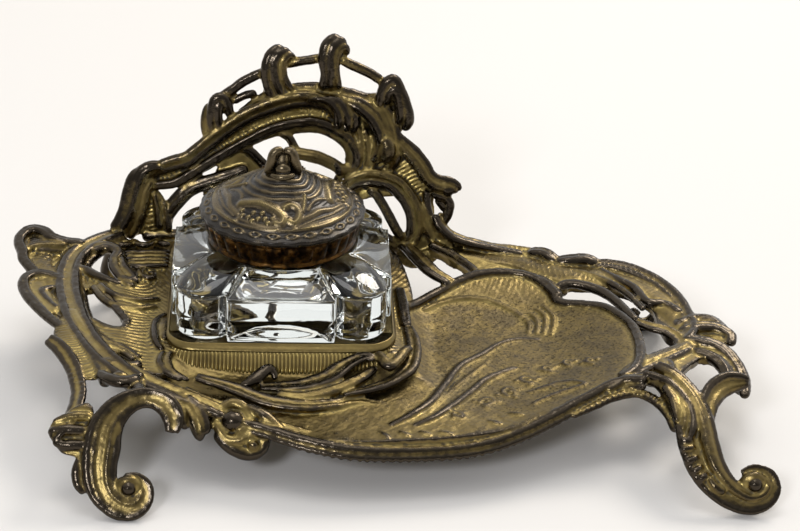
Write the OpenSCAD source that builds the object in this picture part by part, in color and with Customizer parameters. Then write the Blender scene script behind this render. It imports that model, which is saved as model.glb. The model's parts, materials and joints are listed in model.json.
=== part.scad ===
// Cast brass desk inkstand: a scrolled tray on four feet, a pierced gallery behind,
// and a square glass inkwell with a hinged repousse lid that lifts out of its seat.
// +X runs along the tray, +Y towards the gallery, +Z up; millimetres.

/* [Inkwell glass] */
// Width of the glass across its flat side panels
glass_w = 64; // [58:1:68]
// Height of the glass wall below the shoulder
glass_wall_h = 14.5; // [12:0.5:20]
// Rise of the sloping shoulder from the wall to the neck
shoulder_h = 4; // [3:0.5:7]
// Radius of the rounded lobe on each corner of the glass
lobe_r = 9; // [7:0.5:11]
// How far the lobes stand back from the side panels
lobe_setback = 1.5; // [1:0.25:2.5]
// Width of the flat panel in the middle of each side
panel_w = 31; // [26:1:34]
// Radius of the neck that the collar is cemented round
neck_r = 19; // [18:0.5:20]
// Height of the neck above the shoulder
neck_h = 6; // [4:0.5:7]
// Radius of the ink bore
ink_bore_r = 13.5; // [11:0.5:15]
// Thickness of glass under the ink bore
ink_floor_t = 7; // [5:0.5:10]

/* [Collar and lid] */
// Height of the collar
collar_h = 8.5; // [7:0.5:10]
// Thickness of the collar's wall
collar_t = 1; // [0.8:0.1:1.4]
// Thickness of the plaster between the neck and the collar
cement_t = 1; // [0.8:0.1:1.5]
// How far the collar flares outwards from foot to lip
collar_flare = 2.1; // [1.5:0.1:2.5]
// How far the lid's rim overhangs the collar's lip
lid_overhang = 1; // [0.4:0.1:1.2]
// Rise of the lid's cone-like dome above its rim
lid_rise = 15.5; // [13:0.5:18]
// Height of the finial above the dome
finial_h = 7.5; // [7:0.5:10]
// Wall thickness of the lid
lid_t = 1.1; // [0.9:0.1:1.6]
// Depth of the locating ring that drops inside the collar
liner_depth = 1.4; // [1:0.2:2]
// Diameter of the hinge pin
pin_d = 1.6; // [1.2:0.1:2]
// Wall round the hinge pin in each knuckle
knuckle_t = 0.9; // [0.8:0.1:1.2]
// Length of the lid's knuckle
knuckle_l = 4; // [3:0.5:6]

/* [Stand] */
// Height of the well deck above the table
deck_h = 26; // [23:1:32]
// Thickness of the cast sheet of the deck and the tray
sheet_t = 2.4; // [2:0.2:3.2]
// Reach of the tray to the right of the inkwell's centre
tray_reach = 106; // [100:1:116]
// Reach of the left scrolls from the inkwell's centre
left_reach = 84; // [80:1:92]
// Reach of the tray's front edge from the inkwell's centre
front_reach = 71; // [68:1:78]
// How far the tray's floor lies below the deck
tray_drop = 8; // [6:0.5:10]
// Radius of the rolled rim round the tray
rim_r = 1.5; // [1.2:0.1:2]
// Height of the plinth's ribbed wall
plinth_h = 6; // [5:0.5:7]
// Width of the plinth's margin round the glass
plinth_margin = 1.5; // [1:0.25:3]
// Height of the lip that keeps the glass in its seat
seat_lip_h = 1; // [0.6:0.2:1.6]
// Play between the glass and the lip of its seat
seat_play = 0.4; // [0.2:0.1:0.8]
// Pitch of the vertical ribs on the plinth
rib_pitch = 1.3; // [1:0.1:2]

/* [Gallery] */
// Height of the gallery's crest above the deck
gallery_h = 63; // [56:1:72]
// Gap between the glass and the gallery
gallery_gap = 6; // [5:0.5:10]
// Backward lean of the gallery in degrees
gallery_lean = 12; // [10:1:16]

/* [Hidden] */
$fn = 64;
// Sizes at which the freehand curves below are drawn
drawn_glass_w = 64;
drawn_tray_reach = 106;
drawn_left_reach = 84;
drawn_front_reach = 71;
drawn_gallery_gap = 6;
drawn_gallery_y = drawn_glass_w / 2 + drawn_gallery_gap;
drawn_foot_h = 26;
drawn_tray_drop = 8;
drawn_crest_v = 64;
// Where the curves begin to stretch when a reach changes
stretch_right = 34;
stretch_left = 40;
stretch_front = 38;
// Drawn tips of the stand, which the middle of its footprint is measured between
drawn_right_tip = 139.8;
drawn_left_tip = -82.3;
drawn_front_tip = -88;
drawn_crest_back = 53.8;
// A foot stretches between its ankle and its sole when the deck's height changes
foot_ankle_z = -8;
foot_sole_z = -22.6;
// Links to each stretch of a curve, and sides of its section
steps = 3;
ring_sides = 8;
// Running clearances
hinge_play = 0.05;
lid_gap = 0.3;
knuckle_gap = 0.2;
pin_head_t = 0.6;
pin_head_r = pin_d / 2 + 0.4;
finial_r = 3.6;
shank_r = 1.2;
liner_t = 0.8;
// Derived sizes of the inkwell
half_w = glass_w / 2;
lobe_at = half_w - lobe_setback - lobe_r;
neck_z = glass_wall_h + shoulder_h;
collar_r = neck_r + cement_t + collar_t;
lip_r = collar_r + collar_flare;
collar_top = neck_z + collar_h;
rim_r_lid = lip_r + lid_overhang;
rim_z = collar_top + lid_gap;
knuckle_r = pin_d / 2 + knuckle_t;
hinge_y = rim_r_lid + knuckle_r + 0.2;
hinge_z = rim_z + lid_t / 2;
knuckle_outer_l = knuckle_l;
pin_l = knuckle_l + 2 * (knuckle_outer_l + knuckle_gap);
gallery_y = half_w + gallery_gap;
gallery_k = gallery_h / (drawn_crest_v * cos(gallery_lean));
seat_half = half_w + seat_play;
plinth_half = half_w + plinth_margin;

// ---- Curves -------------------------------------------------------------------

// Smooth curve through four neighbouring points, t from 0 to 1 between b and c
function spline(a, b, c, d, t) =
    0.5 * (2 * b + (c - a) * t + (2 * a - 5 * b + 4 * c - d) * t * t
    + (3 * b - a - 3 * c + d) * t * t * t);
// The whole curve through a list of points, n steps between neighbours
function smooth(p, n = steps) = [for (i = [0 : len(p) - 2], k = [0 : n - 1])
    spline(p[max(i - 1, 0)], p[i], p[i + 1], p[min(i + 2, len(p) - 1)], k / n),
    p[len(p) - 1]];
// The closed curve through a ring of points
function smooth_ring(p, n = steps) = let (m = len(p)) [for (i = [0 : m - 1], k = [0 : n - 1])
    spline(p[(i + m - 1) % m], p[i], p[(i + 1) % m], p[(i + 2) % m], k / n)];
function unit(v) = v / max(norm(v), 0.0001);
function xyz(p) = [p[0], p[1], p[2]];
function blend(x, a, b) = let (t = min(max((x - a) / (b - a), 0), 1)) t * t * (3 - 2 * t);

// ---- From the drawn curves to the set sizes -----------------------------------

function fit_x(x) = x > stretch_right
    ? x + (tray_reach - drawn_tray_reach) * (x - stretch_right)
        / (drawn_tray_reach - stretch_right)
    : x < -stretch_left
    ? x - (left_reach - drawn_left_reach) * (-x - stretch_left)
        / (drawn_left_reach - stretch_left)
    : x;
function fit_y(y) = y < -stretch_front
    ? y - (front_reach - drawn_front_reach) * (-y - stretch_front)
        / (drawn_front_reach - stretch_front)
    : y + (gallery_y - drawn_gallery_y) * min(max(y / drawn_gallery_y, 0), 1);
// How far a place belongs to the lowered tray, from 0 on the deck to 1 in the tray
function lowered(x, y) =
    max(blend(x, 30, 46) * blend(-y, -34, -4), blend(-y, 30, 44));
// How far a height belongs to a foot's sole, from 0 at the ankle to 1 at the sole
function sole(z) = min(max((foot_ankle_z - z) / (foot_ankle_z - foot_sole_z), 0), 1);
function fit(p) = [fit_x(p[0]), fit_y(p[1]),
    p[2] - (tray_drop - drawn_tray_drop) * lowered(p[0], p[1]), p[3]];
function fit_foot(p) = let (s = sole(p[2])) [fit_x(p[0]), fit_y(p[1]),
    p[2] - (tray_drop - drawn_tray_drop) * lowered(p[0], p[1]) * (1 - s)
    - (deck_h - drawn_foot_h) * s, p[3]];
// Centre of the glass seat, from the middle of the whole stand's footprint
well_x = -(fit_x(drawn_right_tip) + fit_x(drawn_left_tip)) / 2;
well_y = -(fit_y(drawn_front_tip) + drawn_crest_back + gallery_y - drawn_gallery_y) / 2;

// ---- Freehand parts -----------------------------------------------------------

// Ring of a strand's section: half width r across, r * flat along the up direction
function ring(c, dir, up, r, flat) =
    let (side = unit(cross(dir, up)), top = unit(cross(side, dir)))
    [for (k = [0 : ring_sides - 1]) let (a = 360 * (k + 0.5) / ring_sides)
        c + side * r * cos(a) + top * r * flat * sin(a)];
// A strand through points [x, y, z, half width], made of convex links
module strand(points, up = [0, 0, 1], flat = 0.8, n = steps) {
    q = smooth(points, n);
    last = len(q) - 1;
    rings = [for (i = [0 : last])
        let (dir = unit(xyz(q[min(i + 1, last)]) - xyz(q[max(i - 1, 0)])))
        ring(xyz(q[i]), dir, up, q[i][3], flat)];
    for (i = [0 : last - 1])
        hull() polyhedron(concat(rings[i], rings[i + 1]),
            [[for (k = [0 : 2 * ring_sides - 1]) k]]);
}
// A strand of the stand, drawn about the well's centre
module bar(points, up = [0, 0, 1], flat = 0.8, n = steps)
    strand([for (p = points) fit(p)], up, flat, n);
// A strand of a foot, which stretches when the deck's height changes
module foot_bar(points, up, flat = 0.8, n = steps)
    strand([for (p = points) fit_foot(p)], up, flat, n);
// A rounded boss: squashed ball with a centre and three half sizes
module boss(at, half, turn = 0) translate(xyz(fit(at))) rotate([0, 0, turn])
    hull() for (s = [-0.8, -0.35, 0.35, 0.8]) let (c = sqrt(1 - s * s))
        translate([0, 0, s * half[2]]) scale([half[0], half[1], half[2]])
            linear_extrude(0.02, center = true) circle(c, $fn = 14);

// Place on the gallery's leaning plane: u across, v up it, w out in front of it
gallery_up = [0, -cos(gallery_lean), sin(gallery_lean)];
function on_gallery(p) = let (v = p[1] * gallery_k)
    [p[0], gallery_y + v * sin(gallery_lean), v * cos(gallery_lean), p[2]];
module gallery_bar(points, flat = 0.8, n = steps)
    strand([for (p = points) on_gallery(p)], gallery_up, flat, n);

// ---- The sheet of the deck and the tray ---------------------------------------

// Height of the top surface: flat under the glass, dropping into the dished tray
tray_mid = [62, -22];
function sheet_z(x, y) =
    let (d = norm([(x - tray_mid[0]) / 46, (y - tray_mid[1]) / 40]))
    -2 - lowered(x, y) * (drawn_tray_drop - 4 + 3 * (1 - blend(d, 0.35, 1.05))
        + 3.5 * blend(-y, 30, 68) * blend(-x, -88, -60) - 2.5 * blend(x, 74, 104));
module sheet(outline, mid, rows = 5) {
    o = smooth_ring(outline, 2);
    m = len(o);
    top = [for (j = [1 : rows], i = [0 : m - 1])
        let (p = mid + (o[i] - mid) * j / rows) [p[0], p[1], sheet_z(p[0], p[1])]];
    all = concat(top, [[mid[0], mid[1], sheet_z(mid[0], mid[1])]]);
    pts = [for (p = all) xyz(fit(p))];
    count = len(pts);
    low = [for (p = pts) p - [0, 0, sheet_t]];
    function at(j, i) = j * m + i % m;
    faces = concat(
        [for (i = [0 : m - 1]) [count - 1, at(0, i + 1), at(0, i)]],
        [for (j = [0 : rows - 2], i = [0 : m - 1], h = [0, 1]) h == 0
            ? [at(j, i), at(j, i + 1), at(j + 1, i + 1)]
            : [at(j, i), at(j + 1, i + 1), at(j + 1, i)]]);
    under = [for (f = faces) [f[2] + count, f[1] + count, f[0] + count]];
    edge = [for (i = [0 : m - 1], h = [0, 1]) let (a = at(rows - 1, i), b = at(rows - 1, i + 1))
        h == 0 ? [a, b, b + count] : [a, b + count, a + count]];
    polyhedron(concat(pts, low), concat(faces, under, edge));
}

tray_outline = [[106, -22], [105, -11], [99, -1], [91, 3], [84, 6], [81, 15], [73, 21],
    [60, 20], [48, 12], [40, 3], [34, -6], [30, -16], [24, -30], [12, -42], [-2, -52],
    [-12, -60], [-4, -64], [8, -68], [22, -70], [36, -69], [50, -67], [64, -63], [74, -57],
    [84, -52], [94, -45], [102, -36]];
deck_outline = [[36, -6], [40, 4], [38, 22], [33, 36], [20, 40], [0, 41], [-20, 40],
    [-38, 37], [-50, 30], [-51, 20], [-44, 12], [-43, 2], [-43, -10], [-44, -22], [-50, -32],
    [-42, -42], [-36, -52], [-24, -59], [-12, -62], [0, -53], [14, -43], [26, -31], [32, -16]];

// The casting is open where the hollow plinth stands
module without_plinth() difference() {
    children();
    translate([0, 0, -4 * plinth_h]) linear_extrude(8 * plinth_h)
        offset_square(plinth_half, lobe_r);
}
// A raised line on the tray's floor through points [x, y, half width]
module on_floor(points)
    bar([for (p = points) [p[0], p[1], sheet_z(p[0], p[1]) - 0.3, p[2]]], n = 2);
module pen_tray() color("#8f7a45") {
    without_plinth() sheet(tray_outline, tray_mid);
    // Rolled rim along the front, round the lobe and back to the deck
    bar([[-14, -61, -8, 2], [-4, -64.5, -9, 2], [8, -69, -10, 2], [22, -70.5, -12, 2],
        [42, -68.5, -13, 2], [56, -66, -12.5, 2], [67, -62, -11, 2], [76, -57, -9, 2],
        [86, -51, -6.5, 2], [96, -45.5, -4, 2.2], [104, -48, -1.5, 2.2]]);
    edge = [[98, -43], [103, -35], [105.5, -22], [104.5, -11], [98.5, -1], [91, 3], [84, 6],
        [81, 15], [73, 21], [60, 20], [48, 12], [40, 3], [34, -6]];
    bar([for (p = edge) [p[0], p[1], sheet_z(p[0], p[1]), rim_r]], n = 2);
    // Rolled edges of the long leaf on the floor, the line behind it and the sprig in front
    on_floor([[30.5, -61, 1.7], [37.3, -56.2, 1.9], [42.8, -49.3, 2], [47.6, -38.8, 2],
        [53.2, -27, 1.9], [64.8, -14.7, 1.7], [76, -12, 1.5]]);
    on_floor([[38, -60.5, 1.7], [43.2, -57.6, 1.8], [49.3, -50.4, 1.9], [55, -42, 1.9],
        [60.5, -34.5, 1.8], [69, -29, 1.6]]);
    on_floor([[42.4, 1.6, 1.6], [47.7, 6.6, 1.7], [55.5, 9.6, 1.7], [63.1, 8.9, 1.7],
        [69.4, 5, 1.7], [74.5, -1, 1.7], [75, -8, 1.5]]);
    on_floor([[70.6, -43.4, 1.7], [79, -40.6, 1.9], [84, -41, 1.9], [80, -46, 1.9],
        [73, -49.6, 1.7]]);
    // Scroll that curls round the plinth's right corner
    bar([[37.4, -20, -3.8, 1.6], [38.5, -29, -4.4, 2], [36.7, -37.8, -5.2, 2.2],
        [30.8, -44, -6, 2.2], [25.5, -47, -6.4, 2]]);
    // Ties to the gallery's foot
    bar([[38, 38.5, -3, 2], [39.5, 33, -1.5, 2], [42, 26, -1.5, 2], [46, 17, -2.5, 2],
        [51, 12, -4, 2]]);
    bar([[60, 33, -4, 2.4], [63, 27, -4, 2.4], [67, 20, -5, 2.4]]);
}

module well_deck() color("#8f7a45") {
    without_plinth() sheet(deck_outline, [-4, -8]);
    // Rolled edge over the front ornament, and the raised scroll bracket beside the plinth
    bar([[-46, -40, -2, 2.4], [-38, -50, -3, 2.6], [-26, -57, -5, 2.4], [-14, -61, -8, 2]]);
    boss([-12, -61, -9], [5.5, 3.5, 4]);
    boss([-10, -61, -13.8], [4, 2.6, 3.6]);
    without_plinth() bar([[-38, -34, -4, 1.8], [-41, -24, -3, 2.6], [-39, -12, -3, 2.8],
        [-37, 2, -3, 2.2]]);
    // Apron that slopes down in front of the plinth
    without_plinth() bar([[-26, -34.5, -4, 3], [0, -34.8, -4, 3.2], [20, -34.5, -4, 3]], n = 2);
    // Leaves along the front: the dark one that rises to the plinth's corner comes last
    bar([[-22, -47, -3.6, 1.8], [-12.8, -49.5, -5.4, 2.4], [-3.9, -53.4, -7, 2.4],
        [6.3, -55, -7.6, 2.2], [15, -53, -8, 1.8]]);
    bar([[-1.2, -49.8, -6.4, 1.8], [6, -51.2, -6.8, 2.2], [15.2, -47.6, -6.6, 2.2],
        [22.3, -42.6, -5.8, 2], [27.3, -37.8, -4.4, 1.6]]);
    bar([[-4, -46.8, -5.6, 1.8], [4.6, -46.8, -5.6, 2.7], [12.4, -43.8, -5.2, 3],
        [17, -40, -4, 2.8], [20.8, -38, -2.2, 2.4], [24.4, -37.6, -1, 2], [27, -39.2, -1.4, 1.4]]);
}

// Outline of the glass plan: flat panels between round corner lobes
module glass_plan(grow = 0) {
    for (a = [0 : 90 : 270]) rotate(a) {
        translate([lobe_at, lobe_at]) circle(lobe_r + grow);
        translate([0, -panel_w / 2 - grow]) square([half_w + grow, panel_w + 2 * grow]);
    }
    square(2 * (half_w - lobe_setback - 2), center = true);
}
// Ribbed wall of the plinth: half-round ribs along the front, plain elsewhere
module plinth_ribs(length) {
    count = floor(length / rib_pitch);
    for (i = [0 : count - 1]) translate([(i - (count - 1) / 2) * rib_pitch, 0])
        circle(rib_pitch / 2, $fn = 8);
}
module well_plinth() color("#a58a48") {
    difference() {
        translate([0, 0, -plinth_h]) linear_extrude(plinth_h + seat_lip_h) union() {
            offset_square(plinth_half, lobe_r);
            translate([0, -plinth_half]) plinth_ribs(2 * (plinth_half - lobe_r));
        }
        linear_extrude(seat_lip_h + 1) offset_square(seat_half, lobe_r);
        translate([0, 0, -plinth_h - 1]) linear_extrude(plinth_h + 1 - sheet_t)
            offset_square(plinth_half - sheet_t, lobe_r - sheet_t / 2);
    }
}
// Square with round corners, drawn from discs and bars so that the arcs stay true
module offset_square(half, r) {
    square([2 * half, 2 * (half - r)], center = true);
    square([2 * (half - r), 2 * half], center = true);
    for (x = [-1, 1], y = [-1, 1]) translate([x * (half - r), y * (half - r)]) circle(r);
}

// ---- Gallery ------------------------------------------------------------------

module gallery_arch() color("#7d6b3f") {
    // Upper roll with its curled end, lower edge, and the fluted web between them
    gallery_bar([[-40, 20, 2], [-36, 22.5, 2.2], [-31, 24, 2.2], [-23, 30.5, 2.4],
        [-13.5, 37, 2.6], [-4, 42, 2.8], [6.5, 44, 3], [16, 42.5, 3], [20.5, 38.5, 3],
        [19.5, 34.5, 2.2]]);
    gallery_bar([[-44, 17, 2], [-36, 18, 2], [-25, 22.5, 1.8], [-16.5, 28, 1.8],
        [-6, 32.8, 1.8], [6.5, 35.5, 1.8], [15, 33.6, 1.8], [20, 27.5, 1.8], [21, 22, 1.6]]);
    gallery_bar([[-40, 18.5, 2], [-31, 21.5, 3], [-23, 27, 4], [-14, 33, 4.6],
        [-4, 37.5, 5], [6.5, 40, 5], [14, 38.5, 4.4], [19, 35, 3]], flat = 0.3);
}
module gallery_crest() color("#6f5f3a") {
    gallery_bar([[-20, 44.5, 1.6], [-12, 48, 1.6], [-4, 54, 1.8], [5, 56, 1.8],
        [15, 57, 1.8], [24, 54, 1.8], [33, 49, 1.8]]);
    gallery_bar([[-17, 38, 2], [-18.5, 43.5, 2.6], [-21.5, 42, 2.6], [-22, 36, 2.6],
        [-20, 29.5, 2.2]], flat = 1);
    gallery_bar([[-2.5, 43, 2], [-6, 50, 2.5], [-5, 57, 2.8], [0, 59, 2.6], [3, 55, 1.6]],
        flat = 1);
    gallery_bar([[14, 45, 2], [12.5, 52, 2.8], [13.5, 59, 3], [17.5, 62, 2.8],
        [20, 57, 2]], flat = 1);
    gallery_bar([[30, 40, 2], [30.5, 46, 2.6], [33.5, 48, 2.8], [36.5, 45, 2.8],
        [38, 39, 2.6], [37, 33, 2]], flat = 1);
}
module gallery_right_scrolls() color("#7d6b3f") {
    gallery_bar([[18, 42.5, 2], [25, 39.5, 2.8], [29.5, 35, 3.2], [33, 30, 3.2],
        [35, 25, 2.6], [33, 20.5, 1.8]]);
    gallery_bar([[31, 43, 2], [34, 37, 2.6], [36, 31, 2.6], [39, 26.5, 2.6],
        [44, 22.5, 2.6], [49, 18, 2.4], [54, 17, 1.8]]);
    gallery_bar([[21, 34, 2], [25, 31, 4], [26, 26, 4.4], [24, 21, 3], [20, 16, 2]],
        flat = 0.4);
    // Strands that frame the openings beside the well
    gallery_bar([[-9, 23, 1.5], [-2, 27, 1.7], [3.5, 27, 1.7], [11, 24.5, 1.7],
        [18, 20, 1.7], [21, 16, 1.6]]);
    gallery_bar([[-1, 33, 1.5], [3, 29.5, 1.6], [4.5, 26, 1.5]]);
    // C-loop and its inner curl
    gallery_bar([[19, 15, 1.8], [25, 19, 2.4], [32, 19.2, 2.5], [38, 14.5, 2.6],
        [42, 6.5, 2.6], [42, -0.5, 2.4], [37, -4, 2]]);
    gallery_bar([[26, 13, 1.6], [30.5, 10, 1.7], [34, 3, 1.7], [37, -3, 1.7]]);
    gallery_bar([[19, 16, 2], [22, 8, 2.2], [28, 0, 2.2], [36, -3, 2]]);
    // Leaf that falls from the shoulder to the tray's back edge
    gallery_bar([[45, 20, 2.4], [50, 12, 2.6], [50, 5, 2.8], [54, 0, 2.8], [60, -4, 2.4]]);
    gallery_bar([[44, 6, 2.4], [47, 2, 3.2], [49, -4, 2.6]], flat = 0.4);
}
module gallery_left_post() color("#7d6b3f") {
    gallery_bar([[-40, 21, 2.2], [-44, 19.5, 3.2], [-46, 14, 3.2], [-48, 7, 3.2],
        [-52, 0, 3.4], [-54, -2, 2.4]], flat = 0.9);
    // Ribbed web between the post and the deck, and the leaf cluster behind the glass
    gallery_bar([[-43, 16, 2.5], [-40, 8, 5], [-38, 0, 6]], flat = 0.3);
    gallery_bar([[-38, 2, 2.6], [-34, 9, 2.8], [-28, 15, 2.6], [-20, 18, 2.4],
        [-10, 22, 2]]);
    gallery_bar([[-24, 17, 2], [-14, 10, 2.4], [-6, 3, 2.2], [0, -2, 2]]);
}

// ---- Scrollwork at the ends ---------------------------------------------------

module left_scrollwork() color("#75643c") {
    // Outer C-scroll from the gallery post round to the front foot
    bar([[-50, 38, 1, 3], [-53, 34, 1.5, 3.4], [-56, 29, 1.5, 3.8], [-59, 25, 1.5, 4],
        [-63.5, 18, 1, 4], [-65, 8, 0.5, 3.8], [-63.5, -6, 0, 3.6], [-59, -20, 0, 3.6],
        [-53, -31, 0, 3.6], [-46.5, -42, 0, 3.6], [-40, -49, -0.5, 3]]);
    // Two leaves on its outer side
    bar([[-60, 24, 1, 3], [-69, 27, 2.5, 3.6], [-76, 29, 4, 3.2], [-82, 30, 3.5, 1.8]]);
    bar([[-62, -12, 0, 2.8], [-69, -7, 0.5, 3.2], [-75, 1, 0.5, 2.8], [-79, 6, 0, 1.4]]);
    // Strands across to the deck
    bar([[-63, 12, 1, 2.2], [-58, 2, 1, 2.4], [-52, -6, 1, 2.6], [-45, -14, 0, 3],
        [-41, -19, -1, 2.6]], flat = 0.7);
    bar([[-64, 9, 1, 2], [-60, 11.5, 1, 2.2], [-55, 13, 1.5, 2.2], [-49, 14, 0, 2.4],
        [-42, 12, -1.5, 2.2]], flat = 0.7);
    bar([[-60, -16, 0.5, 2.4], [-53, -28, 0, 3], [-46, -35, -1, 3.6], [-40, -38, -3, 3]],
        flat = 0.6);
    bar([[-57, -24, 0, 2.4], [-50, -27, -1, 3.4], [-43, -27, -2.5, 3.4]], flat = 0.5);
    // Ribbed web along the scroll's outer edge, and the side strand that drops from it
    bar([[-62, -17, 0, 3], [-61, -27, 0, 4.5], [-57.5, -37, -0.5, 4.5], [-53, -45, -1, 3.5]],
        flat = 0.4);
    bar([[-67, -32, 1, 1.8], [-62, -37, 0.5, 2.4], [-58, -46, -1, 2.4], [-56, -54, -4, 2.4],
        [-57, -62, -8, 2.6], [-60, -70, -9.5, 2.8]], up = [-0.3, -0.5, 0.8]);
    bar([[-55, -33, 0, 2.2], [-52, -42, -0.5, 2.4], [-49, -50, -1, 2.4],
        [-48, -55, -2, 2.4]]);
}

module right_leaf_band() color("#7d6b3f") {
    // Broad leaf from the tray's back corner, bowing behind the slot to the right end
    bar([[60, 34, -4, 3], [70, 32, -4, 5], [80, 26, -4.5, 6.5], [88, 21, -4.5, 7],
        [97, 20, -4.5, 6], [107, 17, -5, 5.5], [114, 10, -5.5, 5.5], [120, 0, -6, 5],
        [121, -10, -6.5, 4], [117, -17, -6.5, 3]], flat = 0.35, n = 4);
    bar([[58, 37, -3, 2], [70, 36, -3, 2], [80, 33, -3, 2], [90, 27.5, -3, 2],
        [100, 26.5, -3.5, 2], [110, 23, -4, 2], [118, 14, -5, 2], [123, 4, -5.5, 2],
        [127, -3, -6, 2]], n = 2);
    bar([[74, 22, -4.5, 3], [80, 17, -5, 3], [84, 10, -5, 2.4]], flat = 0.6);
    boss([129, -7, -6.5], [6, 4, 2.6], turn = -40);
}
module right_scrollwork() color("#75643c") {
    // Strand from the leaf's end to the tray's corner, and the strand on to the leaf tips
    bar([[118, -14, -6.5, 3], [116, -24, -6, 3], [110, -33, -5, 3.4], [103, -40, -4, 3.6],
        [98, -43, -4, 3]], flat = 0.7);
    bar([[119, -16, -6.5, 2.6], [126, -19, -6.5, 3.2], [133, -21, -8, 3],
        [137, -27, -10, 2.4]]);
    bar([[119, -15, -6.5, 2.6], [125, -10, -6.5, 2.8], [131, -9.5, -6.5, 3],
        [135, -14, -7.5, 2]]);
    bar([[136, -25, -10, 2], [133, -32, -10, 2.6], [128, -35, -9, 2.8], [123, -40, -8, 3],
        [119, -47, -7, 3], [115, -54, -6, 3.2]], flat = 0.7);
    bar([[112, -31, -5, 2.6], [112, -40, -5, 2.8], [113, -48, -5.5, 3],
        [114, -55, -6, 3]], flat = 0.7);
}

// ---- Feet ---------------------------------------------------------------------

foot_up = [0, -0.83, 0.56];
// Soles are filed flat where they stand on the table
module grounded() intersection() {
    children();
    translate([0, 0, deck_h]) cube([4 * left_reach, 4 * left_reach, 4 * deck_h], center = true);
}
module foot_hub(at, r) let (p = fit_foot(at)) translate(xyz(p) - at)
    hull() for (t = [-1, 1]) translate(at) translate([0, 0.9 * t, 0]) rotate([90, 0, 0])
        scale([1, 1, 0.5]) sphere(r - 0.6, $fn = 14);
module front_left_foot() color("#75643c") grounded() {
    foot_bar([[-30, -68, -6.5, 1.4], [-29.5, -66, -2.5, 2.6], [-31.5, -64, 0.5, 2.5],
        [-36, -62.5, 1, 2.6], [-41.5, -63, -0.5, 3], [-46.5, -67, -4, 4],
        [-49, -72.5, -10, 4.8], [-50, -79, -16, 4.8], [-48.5, -83.5, -21, 4],
        [-43.5, -86, -23.4, 3.1], [-38, -85.5, -23, 2.8], [-35.8, -83, -18.8, 2.4],
        [-38, -80.5, -15.3, 2], [-42, -80, -14.8, 1.8]], up = foot_up);
    foot_bar([[-43, -45, -2, 2.6], [-42, -52, -1, 3], [-39, -57, -0.5, 3],
        [-38, -62, 0, 2.6]], up = [0, 0, 1]);
    foot_bar([[-63, -71, -6.5, 1.6], [-59, -70, -9, 3], [-54, -71, -9, 3.2],
        [-50, -72, -9, 3]], up = foot_up);
    foot_hub([-41.5, -83, -18.9], 4.8);
}
module front_right_foot() color("#75643c") grounded() {
    foot_bar([[98, -45, -4, 3], [103, -49, -2.5, 4], [109, -56, -3, 5], [113, -63, -6, 5.6],
        [114.5, -69, -11, 5.6], [117, -75, -16.5, 5], [121.5, -79, -20.5, 4],
        [127, -81, -23.4, 3.2], [133, -81.5, -23.2, 3.1], [136.8, -79.5, -19.8, 2.7],
        [136.2, -77.5, -16, 2.4], [132, -76.5, -14, 2.2], [127.5, -77, -15, 2]],
        up = foot_up);
    foot_hub([130.5, -79, -18.6], 4.8);
}
// The back feet are plainer: one scroll each
module back_left_foot() color("#75643c") grounded() {
    foot_bar([[-46, 32, -1, 3.4], [-50, 36, -4, 3.6], [-53, 39, -10, 3.6],
        [-54, 41, -17, 3.4], [-51, 42.5, -23.2, 3], [-46, 42, -23.4, 2.8],
        [-43, 40.5, -19.5, 2.4], [-46, 39.5, -17, 2]], up = [0, 0.86, 0.5]);
}
module back_right_foot() color("#75643c") grounded() {
    foot_bar([[112, 13, -6, 3.4], [116, 17, -8, 3.6], [119, 21, -12, 3.4],
        [120, 24, -17.5, 3.2], [117, 26, -23.2, 3], [112, 25.5, -23.4, 2.8],
        [109, 24, -19.5, 2.4], [112, 23, -17, 2]], up = [0, 0.86, 0.5]);
}

// ---- Inkwell ------------------------------------------------------------------

module glass_inkwell() color("#dfe6e4", 0.5) {
    notch = lobe_setback + 2;
    difference() {
        union() {
            linear_extrude(glass_wall_h) glass_plan();
            hull() {
                translate([0, 0, glass_wall_h - 0.01]) linear_extrude(0.01)
                    offset_square(half_w - lobe_setback, lobe_r);
                translate([0, 0, neck_z - 0.01]) cylinder(0.01, r = neck_r + 2, $fn = 32);
            }
            translate([0, 0, neck_z - 0.01]) cylinder(neck_h, r = neck_r);
        }
        // Notches that part the panels from the lobes
        for (a = [0 : 90 : 270], s = [-1, 1]) rotate(a)
            translate([half_w, s * (panel_w / 2 + notch / 2), -1]) rotate(45)
                cube([notch, notch, 2 * (glass_wall_h + shoulder_h)], center = true);
        translate([0, 0, ink_floor_t]) cylinder(neck_z + neck_h, r = ink_bore_r);
    }
}
module collar_cement() color("#d8d2c4") translate([0, 0, neck_z]) difference() {
    cylinder(neck_h - 1, r = neck_r + cement_t);
    translate([0, 0, -1]) cylinder(neck_h + 1, r = neck_r);
}
module collar() color("#5a4326") {
    inner = neck_r + cement_t;
    difference() {
        union() {
            rotate_extrude() polygon([[inner, neck_z], [collar_r, neck_z],
                [collar_r + 0.6, neck_z + 1], [collar_r + 0.3, neck_z + 2],
                [lip_r, collar_top - 1], [lip_r, collar_top], [inner, collar_top]]);
            for (s = [-1, 1]) translate([s * (knuckle_l / 2 + knuckle_gap), 0, 0])
                mirror([s < 0 ? 1 : 0, 0, 0]) {
                    translate([0, hinge_y, hinge_z]) rotate([0, 90, 0])
                        cylinder(knuckle_outer_l, r = knuckle_r);
                    translate([0, inner + 0.5, collar_top - 2])
                        cube([knuckle_outer_l, hinge_y - inner - 0.5, 2]);
                }
        }
        translate([-pin_l, hinge_y, hinge_z]) rotate([0, 90, 0]) cylinder(2 * pin_l, d = pin_d);
        // Clear the sweep of the lid's knuckle
        translate([-knuckle_l / 2 - knuckle_gap, hinge_y, hinge_z]) rotate([0, 90, 0])
            cylinder(knuckle_l + 2 * knuckle_gap, r = knuckle_r + hinge_play + 0.15);
    }
}
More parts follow.
